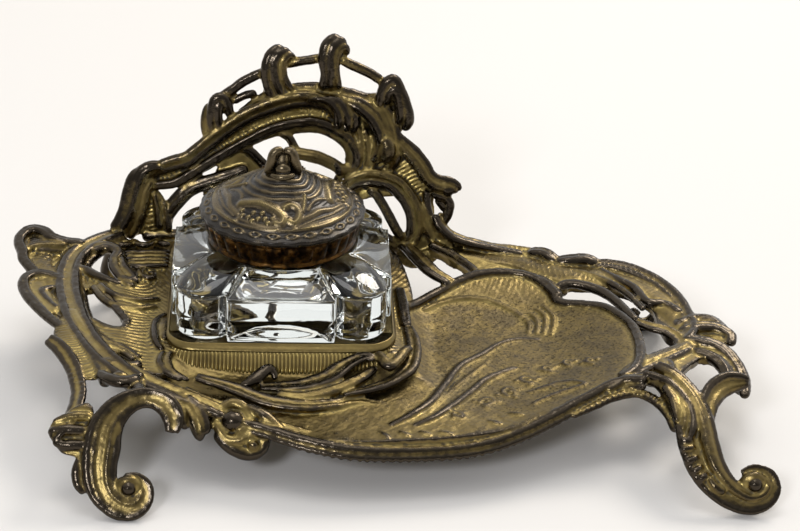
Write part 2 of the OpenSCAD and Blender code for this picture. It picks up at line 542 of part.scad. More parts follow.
module hinge_pin() color("#7a6a48") translate([-pin_l / 2, hinge_y, hinge_z])
    rotate([0, 90, 0]) {
        cylinder(pin_l, d = pin_d);
        translate([0, 0, -pin_head_t]) cylinder(pin_head_t, r = pin_head_r);
        translate([0, 0, pin_l]) cylinder(pin_head_t, r = pin_head_r);
    }

// Height of the dome above its rim at radius r: a slightly hollow cone, like a limpet's shell
function dome_z(r, top, rim) = top * pow(1 - min(r / rim, 1), 1.05);
module lid() color("#54452c") {
    n = 14;
    outer_rise = lid_rise - lid_t;
    inner_r = rim_r_lid - lid_t;
    outer = [for (i = [0 : n]) let (r = rim_r_lid * i / n)
        [r, rim_z + lid_t + dome_z(max(r, finial_r), outer_rise, rim_r_lid)]];
    inner = [for (i = [n : -1 : 0]) let (r = inner_r * i / n)
        [r, rim_z + liner_t + dome_z(max(r, finial_r), outer_rise - liner_t, inner_r)]];
    difference() {
        union() {
            rotate_extrude() polygon(concat(outer,
                [[rim_r_lid, rim_z], [inner_r, rim_z]], inner));
            translate([-knuckle_l / 2, hinge_y, hinge_z]) rotate([0, 90, 0])
                cylinder(knuckle_l, r = knuckle_r);
            translate([-knuckle_l / 2, rim_r_lid - 0.6, rim_z])
                cube([knuckle_l, hinge_y - rim_r_lid + 0.6, lid_t]);
        }
        translate([-knuckle_l, hinge_y, hinge_z]) rotate([0, 90, 0])
            cylinder(2 * knuckle_l, d = pin_d + 2 * hinge_play);
        translate([0, 0, rim_z + lid_t]) cylinder(lid_rise, r = shank_r);
    }
}
// Cast knob with a shank that is peened over under the dome
module lid_finial() color("#54452c") {
    base = rim_z + lid_t + dome_z(finial_r, lid_rise - lid_t, rim_r_lid);
    rotate_extrude() polygon([[0, base - lid_t - 0.6], [shank_r, base - lid_t - 0.6],
        [shank_r, base], [finial_r, base], [finial_r, base + finial_h * 0.3],
        [finial_r * 0.9, base + finial_h * 0.55], [finial_r * 0.72, base + finial_h * 0.75],
        [finial_r * 0.45, base + finial_h * 0.92], [finial_r * 0.15, base + finial_h],
        [0, base + finial_h]]);
}
// Flat inner plate that closes the dome, with the ring that locates it in the collar
module lid_liner() color("#6b5a38") {
    ring_r = neck_r + cement_t - 0.4;
    difference() {
        union() {
            translate([0, 0, rim_z]) cylinder(liner_t, r = rim_r_lid - lid_t);
            translate([0, 0, rim_z - liner_depth]) cylinder(liner_depth, r = ring_r);
        }
        translate([0, 0, rim_z - liner_depth - 1]) cylinder(liner_depth + 1, r = ring_r - 1);
    }
}

// ---- Assembly -----------------------------------------------------------------

module at_well() translate([well_x, well_y, deck_h]) children();

at_well() pen_tray();
at_well() well_deck();
at_well() well_plinth();
at_well() gallery_arch();
at_well() gallery_crest();
at_well() gallery_right_scrolls();
at_well() gallery_left_post();
at_well() left_scrollwork();
at_well() right_leaf_band();
at_well() right_scrollwork();
at_well() front_left_foot();
at_well() front_right_foot();
at_well() back_left_foot();
at_well() back_right_foot();
at_well() glass_inkwell();
at_well() collar_cement();
at_well() collar();
at_well() hinge_pin();
at_well() lid();
at_well() lid_finial();
at_well() lid_liner();
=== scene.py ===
import json
import math

import bpy
import numpy as np
from mathutils import Matrix, Vector
from mathutils.kdtree import KDTree


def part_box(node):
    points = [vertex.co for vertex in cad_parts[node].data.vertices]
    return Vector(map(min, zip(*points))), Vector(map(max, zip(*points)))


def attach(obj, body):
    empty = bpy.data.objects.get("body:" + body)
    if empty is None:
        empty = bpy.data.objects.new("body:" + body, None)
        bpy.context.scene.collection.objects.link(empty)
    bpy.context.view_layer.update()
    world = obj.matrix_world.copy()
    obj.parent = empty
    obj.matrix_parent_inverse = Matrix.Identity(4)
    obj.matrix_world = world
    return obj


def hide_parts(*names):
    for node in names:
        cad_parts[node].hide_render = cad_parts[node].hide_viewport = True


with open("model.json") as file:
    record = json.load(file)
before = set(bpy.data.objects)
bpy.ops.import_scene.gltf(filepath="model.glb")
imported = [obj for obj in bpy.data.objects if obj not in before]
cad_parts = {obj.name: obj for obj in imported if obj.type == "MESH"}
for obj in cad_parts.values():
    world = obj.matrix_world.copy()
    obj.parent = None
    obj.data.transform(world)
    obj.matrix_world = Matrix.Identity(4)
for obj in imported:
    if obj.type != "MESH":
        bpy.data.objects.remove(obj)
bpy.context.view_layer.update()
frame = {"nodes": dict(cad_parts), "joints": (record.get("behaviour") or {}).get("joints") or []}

bl_info = {
    "name": "Cast brass desk inkstand",
    "version": (1, 0, 0),
    "blender": (4, 5, 0),
    "location": "View3D > Sidebar > Inkstand",
    "description": "A scrolled brass stand, a square glass inkwell and its hinged lid",
    "category": "Add Mesh",
}

# ---- Where the pieces go --------------------------------------------------------------

MM = 0.001
glass_low, glass_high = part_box("glass_inkwell")
# Middle of the glass's base, in millimetres: every drawn curve below is measured from it
WELL = np.array([(glass_low.x + glass_high.x) / 2, (glass_low.y + glass_high.y) / 2,
                 glass_low.z]) / MM
SOLE = -WELL[2]

# Sizes that the glass, the collar and the plinth share with the solids, in millimetres
GLASS_HALF = (glass_high.x - glass_low.x) / 2 / MM
GLASS_TOP = (glass_high.z - glass_low.z) / MM
PLINTH_HALF = (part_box("well_plinth")[1].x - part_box("well_plinth")[0].x) / 2 / MM
NECK_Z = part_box("collar")[0].z / MM - WELL[2]
RIM_R = (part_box("lid")[1].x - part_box("lid")[0].x) / 2 / MM
HINGE = [joint for joint in frame["joints"] if joint["name"] == "lid_hinge"][0]
HINGE_Y, HINGE_Z = (np.array(HINGE["pos_m"]) / MM - WELL)[1:]
# The hinge's axis is half the lid's thickness above its rim
LID_T = 1.1
RIM_Z = HINGE_Z - LID_T / 2
CONE_RISE = 14.4
FINIAL_R = 3.6
GALLERY_Y = 38.0
GALLERY_LEAN = math.radians(12)
FOOT_LEAN = math.radians(34)
# What a front foot gains in width and loses in height for each millimetre it bends back
FOOT_SPREAD, FOOT_FALL = 0.002, 0.51
# The glass's flat panels end here, and its corner lobes have this radius and middle
PANEL_HALF, LOBE_R, LOBE_AT = 15.5, 9, 21.5
FINIAL_SKIN = 0.00013
# The lid's knuckle and the lug that carries it
KNUCKLE_BORE, KNUCKLE_R, KNUCKLE_LENGTH, LUG_HALF = 0.86, 1.66, 3.9, 1.9


# ---- What a user would change ---------------------------------------------------------

class StandSizes(bpy.types.PropertyGroup):
    """Sizes of the casting's skin."""
    skin: bpy.props.FloatProperty(name="Skin", default=0.0004, unit="LENGTH", precision=5,
        description="Size of the squares that the casting's surface is made of")
    rib: bpy.props.FloatProperty(name="Rib pitch", default=0.0011, unit="LENGTH", precision=5,
        description="Distance between the fine cross ribs on the scrolls and the plinth")
    tool_line: bpy.props.FloatProperty(name="Tool lines", default=0.0015, unit="LENGTH",
        precision=5, description="Distance between the chased lines on the deck")


class InkwellSizes(bpy.types.PropertyGroup):
    """Sizes of the glass inkwell and its lid."""
    bore: bpy.props.FloatProperty(name="Ink bore", default=0.0135, unit="LENGTH", precision=4,
        description="Radius of the bore that holds the ink")
    floor: bpy.props.FloatProperty(name="Glass under the ink", default=0.007, unit="LENGTH",
        precision=4, description="Thickness of glass below the bore")
    flutes: bpy.props.IntProperty(name="Collar flutes", default=30, min=12, max=60,
        description="Number of upright flutes round the collar")
    ovals: bpy.props.IntProperty(name="Lid border", default=26, min=12, max=60,
        description="Number of chased ovals round the lid's rim")


class Finishes(bpy.types.PropertyGroup):
    """Colours of the metal, the glass and the floor."""
    gilt: bpy.props.StringProperty(name="Gilding", default="#968450",
        description="Bright gilding left in the hollows")
    brass: bpy.props.StringProperty(name="Aged brass", default="#6C5D3A",
        description="Brass under the thin gilding")
    worn: bpy.props.StringProperty(name="Worn metal", default="#413A31",
        description="Dark grey-brown metal where the gilding has rubbed off")
    # This colour is also painted as shade in the casting's corners, creases and grooves.
    grime_and_shade: bpy.props.StringProperty(name="Grime", default="#1B150D",
        description="Old polish and dust in the deepest corners")
    bronze: bpy.props.StringProperty(name="Lid bronze", default="#5E5340",
        description="Worn bronzed brass of the lid")
    amber: bpy.props.StringProperty(name="Collar brass", default="#5E4220",
        description="Dark amber lacquered brass of the collar")
    floor: bpy.props.StringProperty(name="Floor", default="#D6D3CF",
        description="Plain pale floor")


def linear(text):
    """sRGB hex text to linear colour: each channel c is c/12.92, or ((c+0.055)/1.055)^2.4."""
    c = np.array([int(text[i:i + 2], 16) / 255 for i in (1, 3, 5)])
    c = np.where(c <= 0.04045, c / 12.92, ((c + 0.055) / 1.055) ** 2.4)
    return (float(c[0]), float(c[1]), float(c[2]), 1.0)


# ---- Curves and strands ---------------------------------------------------------------

def unit(v):
    """Each row divided by its length."""
    return v / np.maximum(np.linalg.norm(v, axis=-1, keepdims=True), 1e-9)


def ease(x, a, b):
    """0 below a, 1 above b, and 3t^2 - 2t^3 between them."""
    t = np.clip((x - a) / (b - a), 0, 1)
    return t * t * (3 - 2 * t)


def bump(x, at, width):
    """A bell of height 1 at `at`: exp(-((x - at) / width)^2)."""
    return np.exp(-((x - at) / width) ** 2)


def smooth_line(points, gap=0.6):
    """Curve through the points: between two of them, with a step t from 0 to 1,
    (2b + (c-a)t + (2a-5b+4c-d)t^2 + (3b-a-3c+d)t^3) / 2, cut about every `gap` mm."""
    p = np.array(points, float)
    p = np.vstack([p[:1], p, p[-1:]])
    runs = []
    for a, b, c, d in zip(p[:-3], p[1:-2], p[2:-1], p[3:]):
        count = max(int(np.linalg.norm(c[:3] - b[:3]) / gap), 1)
        t = np.arange(count)[:, None] / count
        runs.append((2 * b + (c - a) * t + (2 * a - 5 * b + 4 * c - d) * t ** 2
                     + (3 * b - a - 3 * c + d) * t ** 3) / 2)
    return np.vstack(runs + [p[-1:]])


def ring_squares(n, m, flip=False, close=False):
    """Squares that join n rings of m points each, the last ring to the first if closed."""
    i, k = np.meshgrid(np.arange(n if close else n - 1), np.arange(m), indexing="ij")
    after, j = (i + 1) % n, (k + 1) % m
    squares = np.stack([i * m + k, i * m + j, after * m + j, after * m + k], -1).reshape(-1, 4)
    return (squares[:, [0, 3, 2, 1]] if flip else squares).tolist()


def sides_of(line, up):
    """Sideways and upward unit vectors along a line: side = way x up, top = side x way."""
    way = unit(np.gradient(line[:, :3], axis=0))
    side = unit(np.cross(way, np.asarray(up, float)))
    return side, unit(np.cross(side, way))


class Casting:
    """Collects closed strands and sheets, each with a tone from -1 (dark, rubbed bare)
    to 1 (bright gilding), until they are fused into one skin."""

    def __init__(self):
        self.points, self.faces, self.tones, self.count = [], [], [], 0

    def add(self, points, faces, tone):
        self.points.append(points)
        self.faces += [[i + self.count for i in f] for f in faces]
        self.tones.append(np.broadcast_to(tone, len(points)))
        self.count += len(points)

    def tube(self, line, up=(0, 0, 1), flat=0.8, tone=0.0, rib=0.0, grooves=(), pitch=1.3):
        """A section carried along a line [x, y, z, half width]: an ellipse r wide and
        r * flat high, less a bell-shaped groove at each angle named, less cross ribs
        rib * cos^2(pi * distance / pitch) on its upper side, closed by round ends."""
        side, top = sides_of(line, up)
        run = np.concatenate([[0], np.cumsum(np.linalg.norm(np.diff(line[:, :3], axis=0),
                                                            axis=1))])
        r = line[:, 3].copy()
        for from_end in (run, run[-1] - run):
            left = np.clip(1 - from_end / np.maximum(line[:, 3], 0.1), 0, 0.97)
            r = r * np.sqrt(1 - left ** 2)
        sides = 28
        a = 2 * math.pi * np.arange(sides) / sides
        signed = (a + math.pi) % (2 * math.pi) - math.pi
        cut = np.ones((len(line), sides))
        for at, depth, width in grooves:
            off = (signed - math.radians(at) + math.pi) % (2 * math.pi) - math.pi
            cut -= depth * np.exp(-(off / math.radians(width)) ** 2)
        cut -= rib * np.cos(math.pi * run / pitch)[:, None] ** 2 * np.clip(np.sin(a), 0, 1)
        p = (line[:, None, :3] + side[:, None, :] * (r[:, None] * np.cos(a) * cut)[..., None]
             + top[:, None, :] * (r[:, None] * flat * np.sin(a) * cut)[..., None])
        n, m = len(line), sides
        faces = ring_squares(n, m, flip=True)
        faces += [list(range(m)), list(range(n * m - 1, (n - 1) * m - 1, -1))]
        self.add(p.reshape(-1, 3), faces, tone)

    def strand(self, points, **looks):
        self.tube(smooth_line(points), **looks)

    def sheaf(self, points, ridges, up=(0, 0, 1), **looks):
        """Ridges laid side by side on one line: each is (shift across, lift, share of the
        half width, tone), in half widths of the line."""
        line = smooth_line(points)
        side, top = sides_of(line, up)
        for shift, lift, share, tone in ridges:
            own = line.copy()
            own[:, :3] += (side * shift + top * lift) * line[:, 3:]
            own[:, 3] *= share
            self.tube(own, up=up, tone=tone, **looks)

    def loop(self, at, half, turn, r, **looks):
        """A closed oval ring of half width r, with half axes `half`, turned by `turn`
        degrees."""
        t = np.linspace(0, 2 * math.pi, 17)
        x, y = half[0] * np.cos(t), half[1] * np.sin(t)
        c, s = math.cos(math.radians(turn)), math.sin(math.radians(turn))
        self.strand(np.column_stack([at[0] + x * c - y * s, at[1] + x * s + y * c,
                                     np.full(17, at[2]), np.full(17, r)]), **looks)

    def ball(self, at, half, tone=0.0, turn=0.0):
        """A squashed ball: x, y, z are its half sizes times cos u cos v, sin u cos v, sin v."""
        m, n = 28, 14
        u = 2 * math.pi * np.arange(m) / m
        v = np.pi * (np.arange(1, n) / n - 0.5)
        x = half[0] * np.outer(np.cos(v), np.cos(u))
        y = half[1] * np.outer(np.cos(v), np.sin(u))
        z = half[2] * np.repeat(np.sin(v)[:, None], m, 1)
        c, s = math.cos(math.radians(turn)), math.sin(math.radians(turn))
        p = np.stack([x * c - y * s, x * s + y * c, z], -1).reshape(-1, 3)
        p = np.vstack([p, [[0, 0, -half[2]], [0, 0, half[2]]]]) + np.array(at, float)
        rows = n - 1
        faces = [[i * m + k, i * m + (k + 1) % m, (i + 1) * m + (k + 1) % m, (i + 1) * m + k]
                 for i in range(rows - 1) for k in range(m)]
        faces += [[rows * m, (k + 1) % m, k] for k in range(m)]
        faces += [[rows * m + 1, (rows - 1) * m + k, (rows - 1) * m + (k + 1) % m]
                  for k in range(m)]
        self.add(p, faces, tone)


def filled(points):
    """Points of up to four numbers as rows of four, with 0 for what is left out."""
    return np.array([list(q) + [0] * (4 - len(q)) for q in points], float)


def on_gallery(points):
    """[across, up, half width, out in front] on the gallery's leaning plane to x, y, z, r."""
    p = filled(points)
    s, c = math.sin(GALLERY_LEAN), math.cos(GALLERY_LEAN)
    return np.stack([p[:, 0], GALLERY_Y + p[:, 1] * s - p[:, 3] * c,
                     p[:, 1] * c + p[:, 3] * s, p[:, 2]], -1)


def on_foot(points, foot):
    """[across, up, half width, out in front] on a front foot's leaning plane, whose sole
    is at y = start on the table, to x, y, z, r. Higher up the foot bends back to the deck
    by bend * up^3, and falls and widens a little as it does so."""
    start, bend = foot
    p = filled(points)
    s, c = math.sin(FOOT_LEAN), math.cos(FOOT_LEAN)
    back = bend * p[:, 1] ** 3
    return np.stack([p[:, 0] * (1 + FOOT_SPREAD * back),
                     start + p[:, 1] * s - p[:, 3] * c + back,
                     SOLE + p[:, 1] * c + p[:, 3] * s - FOOT_FALL * back, p[:, 2]], -1)


GALLERY_UP = (0, -math.cos(GALLERY_LEAN), math.sin(GALLERY_LEAN))
FOOT_UP = (0, -math.cos(FOOT_LEAN), math.sin(FOOT_LEAN))


def pen(cast, place, **usual):
    """A function that draws one strand: its points go through `place` and it has the
    usual looks, unless the call says otherwise."""
    def lay(tone, *places, **looks):
        cast.strand(place(places), tone=tone, **{**usual, **looks})
    return lay


# ---- The casting's strands, in millimetres from the middle of the glass's base ---------
# Each is a list of places and half widths, so that the line, its width and its height
# read together. Tones run from -1, rubbed bare and dark, to 1, bright gilding.

DARK, WORN, PLAIN, GOLD, BRIGHT = -0.9, -0.45, 0.0, 0.5, 0.95
TWO_GROOVES = ((62, 0.2, 14), (118, 0.2, 14))
ONE_GROOVE = ((90, 0.26, 16),)


def gallery_strands(cast):
    """The arch behind the inkwell, its crest and the scrolls to its right."""
    lay = pen(cast, on_gallery, up=GALLERY_UP)

    def lay_sheaf(ridges, *places):
        cast.sheaf(on_gallery(places), ridges, up=GALLERY_UP)

    # Ribbed web between the two rolls
    lay(BRIGHT, (-40, 18.5, 2.4, -.8), (-31, 21.6, 3.4, -.8), (-23, 27.2, 4.2, -.8),
        (-14, 33.2, 4.8, -.8), (-4, 37.6, 5, -.8), (6.5, 40, 5, -.8), (13, 39, 4.4, -.8),
        (18, 36, 3, -.8), flat=.28, rib=.5)
    # Upper roll: a light ridge over a dark one
    lay_sheaf([(-.42, .15, .66, GOLD), (.5, 0, .62, DARK)], (-42, 19.3, 1.8, .6),
        (-36, 22.5, 2.3, .8), (-30, 24.4, 2.4, .9), (-26.4, 27.2, 2.3, .9), (-19, 33.2, 2.4, .9),
        (-10.7, 38.8, 2.5, .9), (0, 43, 2.6, .9), (7, 44, 2.5, .9), (12, 43.2, 2.3, .9),
        (15.2, 41, 1.9, .9), (16.3, 38, 1.4, .8))
    # Three dark-tipped fingers where the upper roll ends
    lay(WORN, (6, 44.2, 1.2, 1.2), (13.2, 43.7, 1.5, 1.5), (16.4, 40.6, 1.6, 1.7),
        (17, 36.8, 1.5, 1.7), (16.2, 34.9, 1, 1.2), flat=1)
    lay(DARK, (9, 44.9, 1.1, .6), (16.3, 43.5, 1.5, 1.1), (19, 40, 1.6, 1.3),
        (19.7, 36.2, 1.5, 1.3), (19, 33.9, 1, .8), flat=1)
    lay(DARK, (12, 45.2, 1.1, -.2), (19.4, 42.7, 1.5, .5), (21.8, 38.8, 1.6, .8),
        (21.9, 35.7, 1.5, .8), (20.4, 33.2, 1, .4), flat=1)
    # Lower edge, round the opening behind the lid, with its inner ridge
    lay(WORN, (-42, 15.5, 1.5, .2), (-34, 16.6, 1.6, .4), (-27.4, 20.4, 1.6, .5),
        (-22.4, 23.7, 1.6, .6), (-12.6, 29.6, 1.7, .6), (-2.8, 34.6, 1.7, .6), (7.1, 36.6, 1.7, .6),
        (12.6, 35.9, 1.7, .6), (17.2, 33.9, 1.7, .6), (20.8, 31, 1.7, .6), (22.6, 27.1, 1.7, .6),
        (22.7, 24, 1.6, .6), (21, 21, 1.6, .4), (18, 20.2, 1.4, .2), grooves=ONE_GROOVE)
    lay(GOLD, (-14, 27.6, 1.1), (-6, 31.8, 1.3), (0, 33.6, 1.4), (7.2, 34.4, 1.4), (12.1, 34, 1.4),
        (16.5, 31.9, 1.4), (19.6, 29, 1.4), (20.6, 26, 1.4), (20, 23.4, 1.3))
    # Bars that frame the openings beside the well
    lay(DARK, (-16.5, 26.5, 1.3), (-14, 28.2, 1.4), (-11, 27.5, 1.5), (-8, 25, 1.5),
        (-5, 21.5, 1.4), (-3, 16, 1.3), (-2, 10, 1.3))
    lay(GOLD, (-1.5, 33.5, 1.4, .3), (1.6, 31.6, 1.4, .4), (3.3, 28.9, 1.4, .4),
        (4.4, 26.4, 1.5, .4))
    lay(BRIGHT, (-4.5, 24.4, 1.5, .3), (0, 26, 1.8, .6), (5, 26.6, 2, 1), (10.6, 25.6, 2.1, 1.1),
        (15, 23.8, 2, 1), (18.4, 21.8, 1.8, .8), (22, 22, 1.4, .4))
    lay(GOLD, (15.1, 24.4, 1, 1.4), (16.9, 22.6, 1.2, 1.7), (17.2, 20, 1.1, 1.3), flat=1)
    lay(GOLD, (18.3, 20.5, 1.3), (16.5, 17, 1.3), (17.5, 12, 1.4), (20, 7, 1.5), (22, 1, 1.6),
        (23, -4, 1.6))
    # Right end: the broad dark sweeps that fall to the shoulder
    lay_sheaf([(-.5, 0, .6, PLAIN), (.45, .25, .66, WORN)], (16.5, 44.6, 1.3, .5),
        (23, 42.4, 2.1, 1.2), (27, 39.6, 2.4, 1.5), (29.5, 36, 2.5, 1.6), (31, 32, 2.4, 1.5),
        (30.8, 28.5, 2.1, 1.3), (29.4, 25.6, 1.7, 1), (27.6, 24.2, 1.2, .7))
    lay_sheaf([(-.5, -.1, .6, DARK), (.4, .2, .72, GOLD)], (27, 44.5, 1.3, 0), (31, 40.9, 2, .5),
        (33.3, 35.9, 2.3, .8), (34.6, 30.6, 2.3, .9), (34.4, 25.8, 2.1, .8), (32.8, 22.2, 1.6, .5),
        (30, 20.6, 1.2, .3))
    lay(GOLD, (30.6, 33, 1.6, 1.8), (32.2, 30, 2.4, 2.2), (32, 27, 2.5, 2.2),
        (30.6, 24.4, 1.6, 1.5), flat=.9)
    # Ribbed fan between the fingers and the sweeps
    lay(BRIGHT, (21.5, 37.5, 1.6, -.4), (24.2, 33, 3.6, -.3), (25.6, 28.4, 4.2, -.2),
        (25.4, 24, 3.8, -.2), (23.6, 19.4, 2.6, -.4), (21.6, 14, 1.8, -.6), flat=.3, rib=.55)
    for start, end in (((23, 35.5), (23.4, 22.2)), ((25.2, 35), (25.6, 21.8)), ((27.2, 33.4),
            (27.4, 22.6))):
        mid = ((start[0] + end[0]) / 2 + .9, (start[1] + end[1]) / 2)
        lay(GOLD, (*start, .8, .6), (*mid, 1.1, .9), (*end, .7, .6))
    # Shoulder, its ribbed plate and the hooked leaf with the curl below it
    lay_sheaf([(-.55, 0, .55, WORN), (.4, .15, .7, GOLD)], (34.4, 33, 1.7, .4),
        (37.6, 29.8, 2.2, .6), (40.6, 26.8, 2.5, .8), (43.4, 23.4, 2.5, .9), (45.6, 19.8, 2.4, .9),
        (48.6, 17.8, 2.6, .9), (51.6, 17.3, 2.6, .8), (54, 16.4, 2, .6), (55, 15, 1.2, .4))
    lay(DARK, (49, 16.4, 1.5, 1.4), (51.6, 15.6, 1.8, 1.4), (53.4, 14.8, 1.4, 1.1))
    lay(BRIGHT, (36, -5.6, 1.6, -.2), (40.6, -7.6, 2.4, 0), (45, -6.8, 2.7, 0), (49, -4.6, 2, 0),
        flat=.6, rib=.4)
    lay(BRIGHT, (35, 28, 2.4, -.6), (37.6, 24, 4, -.8), (40.6, 18.4, 4.6, -.8), (43, 12, 4.2, -.8),
        (44.6, 6, 3.6, -.8), (45.6, 1, 3, -.8), flat=.3, rib=.5)
    lay(WORN, (47, 16.2, 1.2, .6), (48.4, 14, 1.6, .9), (50.6, 13.4, 1.7, 1), (52.2, 11.2, 1.7, .9),
        (51.8, 7.8, 1.6, .8), (50.4, 5.2, 1.5, .7), (49.8, 2, 1.4, .7), (51, -.8, 1.4, .7),
        (54, -2.3, 1.3, .6))
    lay(DARK, (47.6, 12.4, 1, .6), (49.6, 11.4, 1.4, .8), (51, 8.8, 1.3, .7))
    # C-loop: a bright outer ridge round a dark inner wall
    lay_sheaf([(-.55, .1, .55, BRIGHT), (.42, -.25, .7, DARK)], (18.6, 14.6, 1.7, .4),
        (22.2, 18, 2.3, .8), (26.3, 19.3, 2.7, .9), (30.3, 19, 2.8, .9), (34.6, 17.6, 2.8, .9),
        (37.8, 14.6, 2.8, .9), (40, 11.4, 2.7, .9), (41.4, 7.4, 2.6, .9), (41.6, 3, 2.5, .8),
        (40.4, -.6, 2.3, .7), (37.6, -3.2, 1.9, .5))
    lay(GOLD, (26.4, 15.4, 1.2, .3), (29, 14, 1.5, .5), (31, 11.2, 1.6, .6), (33.4, 7, 1.6, .6),
        (35.7, 2.8, 1.6, .6), (38, -.8, 1.4, .4), grooves=ONE_GROOVE)
    lay(WORN, (20, 15.4, 1.8, -.3), (23.2, 9.4, 2.3, -.3), (27.4, 3.6, 2.4, -.3),
        (32.6, -.8, 2.2, -.3), (38, -3, 1.9, -.3), flat=.6, grooves=ONE_GROOVE)
    lay(GOLD, (37.6, 17.6, 1.1, .7), (40.8, 13.2, 1.3, .8), (43.5, 8.6, 1.4, .8),
        (44.6, 4.8, 1.4, .8), (46.4, 1, 1.4, .7), (48.4, -2.6, 1.3, .5))
    lay(WORN, (44.9, 15.4, 1.1, .5), (45.4, 9.8, 1.3, .5), (47, 4.8, 1.4, .5), (49.2, .2, 1.4, .4),
        (49.6, -3.6, 1.3, .3))
    # Leaf cluster and bars behind the glass
    lay(WORN, (-38, 3, 2.2, -.6), (-34, 9.4, 2.6, -.4), (-28.5, 14.8, 2.5, -.2),
        (-20, 18, 2.3, -.2), (-11, 21.4, 1.8, -.2), grooves=TWO_GROOVES)
    lay(GOLD, (-24, 17, 1.8, -.6), (-15, 10.6, 2.2, -.6), (-7, 4, 2.1, -.6), (0, -1.6, 1.9, -.6),
        grooves=ONE_GROOVE)
    lay(WORN, (-44, -1, 2, -1), (-20, 0, 1.9, -1), (6, -1.4, 1.9, -1), (26, -2.4, 1.9, -1),
        (38, -3.4, 1.9, -.6))


def crest_strands(cast):
    """Four fluted knobs on the gallery's crest, tied by rods: each flute curls over the
    rods, from the front round to the back."""
    lay = pen(cast, on_gallery, up=GALLERY_UP, flat=0.9)
    # Web along the crest's foot, then the rods
    lay(WORN, (-14, 38, 1.6, -.6), (-6, 43.4, 2.2, -.6), (3, 46.2, 2.4, -.6), (12, 46.6, 2.4, -.6),
        (21.6, 44.4, 2.2, -.6), (28.5, 42, 1.8, -.6), flat=.55)
    lay(WORN, (-20.5, 43.6, 1.4, 0), (-17, 45.6, 1.6, .2), (-12.6, 48.9, 1.6, .2),
        (-7.5, 51.6, 1.5, .2), (-3, 53.4, 1.4, 0), grooves=ONE_GROOVE)
    lay(GOLD, (0, 54.2, 1.3, 0), (4, 55.4, 1.5, 0), (8.5, 56.2, 1.5, 0), (13, 57, 1.4, 0))
    lay(GOLD, (16.6, 56.6, 1.4, 0), (21, 54.6, 1.6, .2), (26, 52.4, 1.6, .2), (30.5, 49.6, 1.5, .1),
        grooves=ONE_GROOVE)
    lay(WORN, (-16, 42.4, 1.2, -.3), (-12.4, 44.4, 1.3, -.3), (-8.4, 45.4, 1.2, -.3))
    # Knob at the left end of the crest
    lay(WORN, (-16.4, 37.6, 1.4, .6), (-17.4, 41.4, 1.7, .9), (-18.8, 43.8, 1.8, .9),
        (-20.9, 43.4, 1.8, 1), (-21.9, 40.4, 1.8, 1), (-22.2, 35.4, 1.7, .8),
        (-21.4, 31.4, 1.4, .5))
    lay(DARK, (-18.6, 40, 1.3, .8), (-20, 41.8, 1.4, 1.6), (-20.2, 38, 1.4, 1.6),
        (-19.8, 33.6, 1.2, 1.1))
    lay(GOLD, (-22.6, 41.8, 1.3, -.8), (-23.8, 39, 1.6, -.3), (-24.2, 35.4, 1.6, -.2),
        (-23.6, 31.6, 1.4, 0), (-22, 28.6, 1.1, .2))
    # Tall knob left of the middle
    lay(GOLD, (-5.6, 44, 2, -.2), (-3.4, 47, 3, -.1), (-2.4, 50.4, 2.6, 0), flat=.6)
    lay(WORN, (-3.2, 43.6, 1.5, .9), (-5, 48.6, 1.8, 1.2), (-5.4, 53.6, 1.9, 1.4),
        (-4.2, 57.4, 1.9, 1), (-2, 59, 1.8, -.4), (-1, 56.6, 1.5, -1.7), (-1.6, 51.6, 1.3, -1.7))
    lay(DARK, (-.4, 45, 1.3, 1.2), (-2.8, 49.8, 1.6, 1.7), (-3.3, 54.6, 1.7, 1.8),
        (-2, 57.6, 1.7, 1.3), (.2, 58.4, 1.6, 0), (1.2, 56, 1.2, -1.2))
    lay(GOLD, (2.4, 46.2, 1.2, 1), (0, 50.4, 1.4, 1.5), (-.7, 54.4, 1.5, 1.6), (.5, 57, 1.5, 1.2),
        (2, 57, 1.4, .2), (2.4, 54.6, 1.1, -.4))
    # Tallest knob, above the bar
    lay(GOLD, (14.4, 46, 4, -.2), (14.6, 49.4, 3, -.1), (14.4, 53, 2.4, 0), flat=.5)
    lay(WORN, (11.8, 47, 1.5, .9), (12.9, 51.6, 1.8, 1.2), (12.2, 56.4, 1.9, 1.3),
        (12.9, 60.6, 1.9, 1), (15.2, 62.6, 1.8, -.2), (16.6, 60.6, 1.5, -1.4),
        (16, 55.6, 1.3, -1.5))
    lay(DARK, (14, 47.4, 1.3, 1.2), (14.3, 52.4, 1.6, 1.7), (14, 57, 1.7, 1.8),
        (15, 60.6, 1.7, 1.4), (17.2, 62, 1.6, 0), (18.4, 60, 1.3, -1))
    lay(GOLD, (17, 47.2, 1.2, 1), (15.9, 51.8, 1.4, 1.5), (15.6, 56.4, 1.5, 1.7),
        (16.8, 59.8, 1.5, 1.3), (18.6, 60, 1.5, .4), (19.2, 57.6, 1.2, -.3))
    # Curled leaf at the right end of the crest
    lay(WORN, (29.4, 41, 1.4, .6), (30.2, 45.6, 1.8, .9), (31.6, 49, 2, .9), (33.8, 50.2, 2, .8),
        (35.9, 46.6, 2, .8), (38, 41.4, 2, .8), (38.6, 37.2, 1.8, .7), (37.2, 34.4, 1.2, .5))
    lay(DARK, (31.4, 42.6, 1.2, 1), (32.6, 46.2, 1.5, 1.6), (34.2, 47.4, 1.6, 1.7),
        (35.4, 43.6, 1.6, 1.6), (36, 39.6, 1.5, 1.4), (35.2, 36.6, 1.1, 1))
    lay(PLAIN, (31.6, 41, 1.4, -.6), (33, 44.6, 1.8, -.7), (35.2, 43.6, 1.8, -.8),
        (36.4, 39.4, 1.7, -.8), (36.2, 35.6, 1.4, -.6))


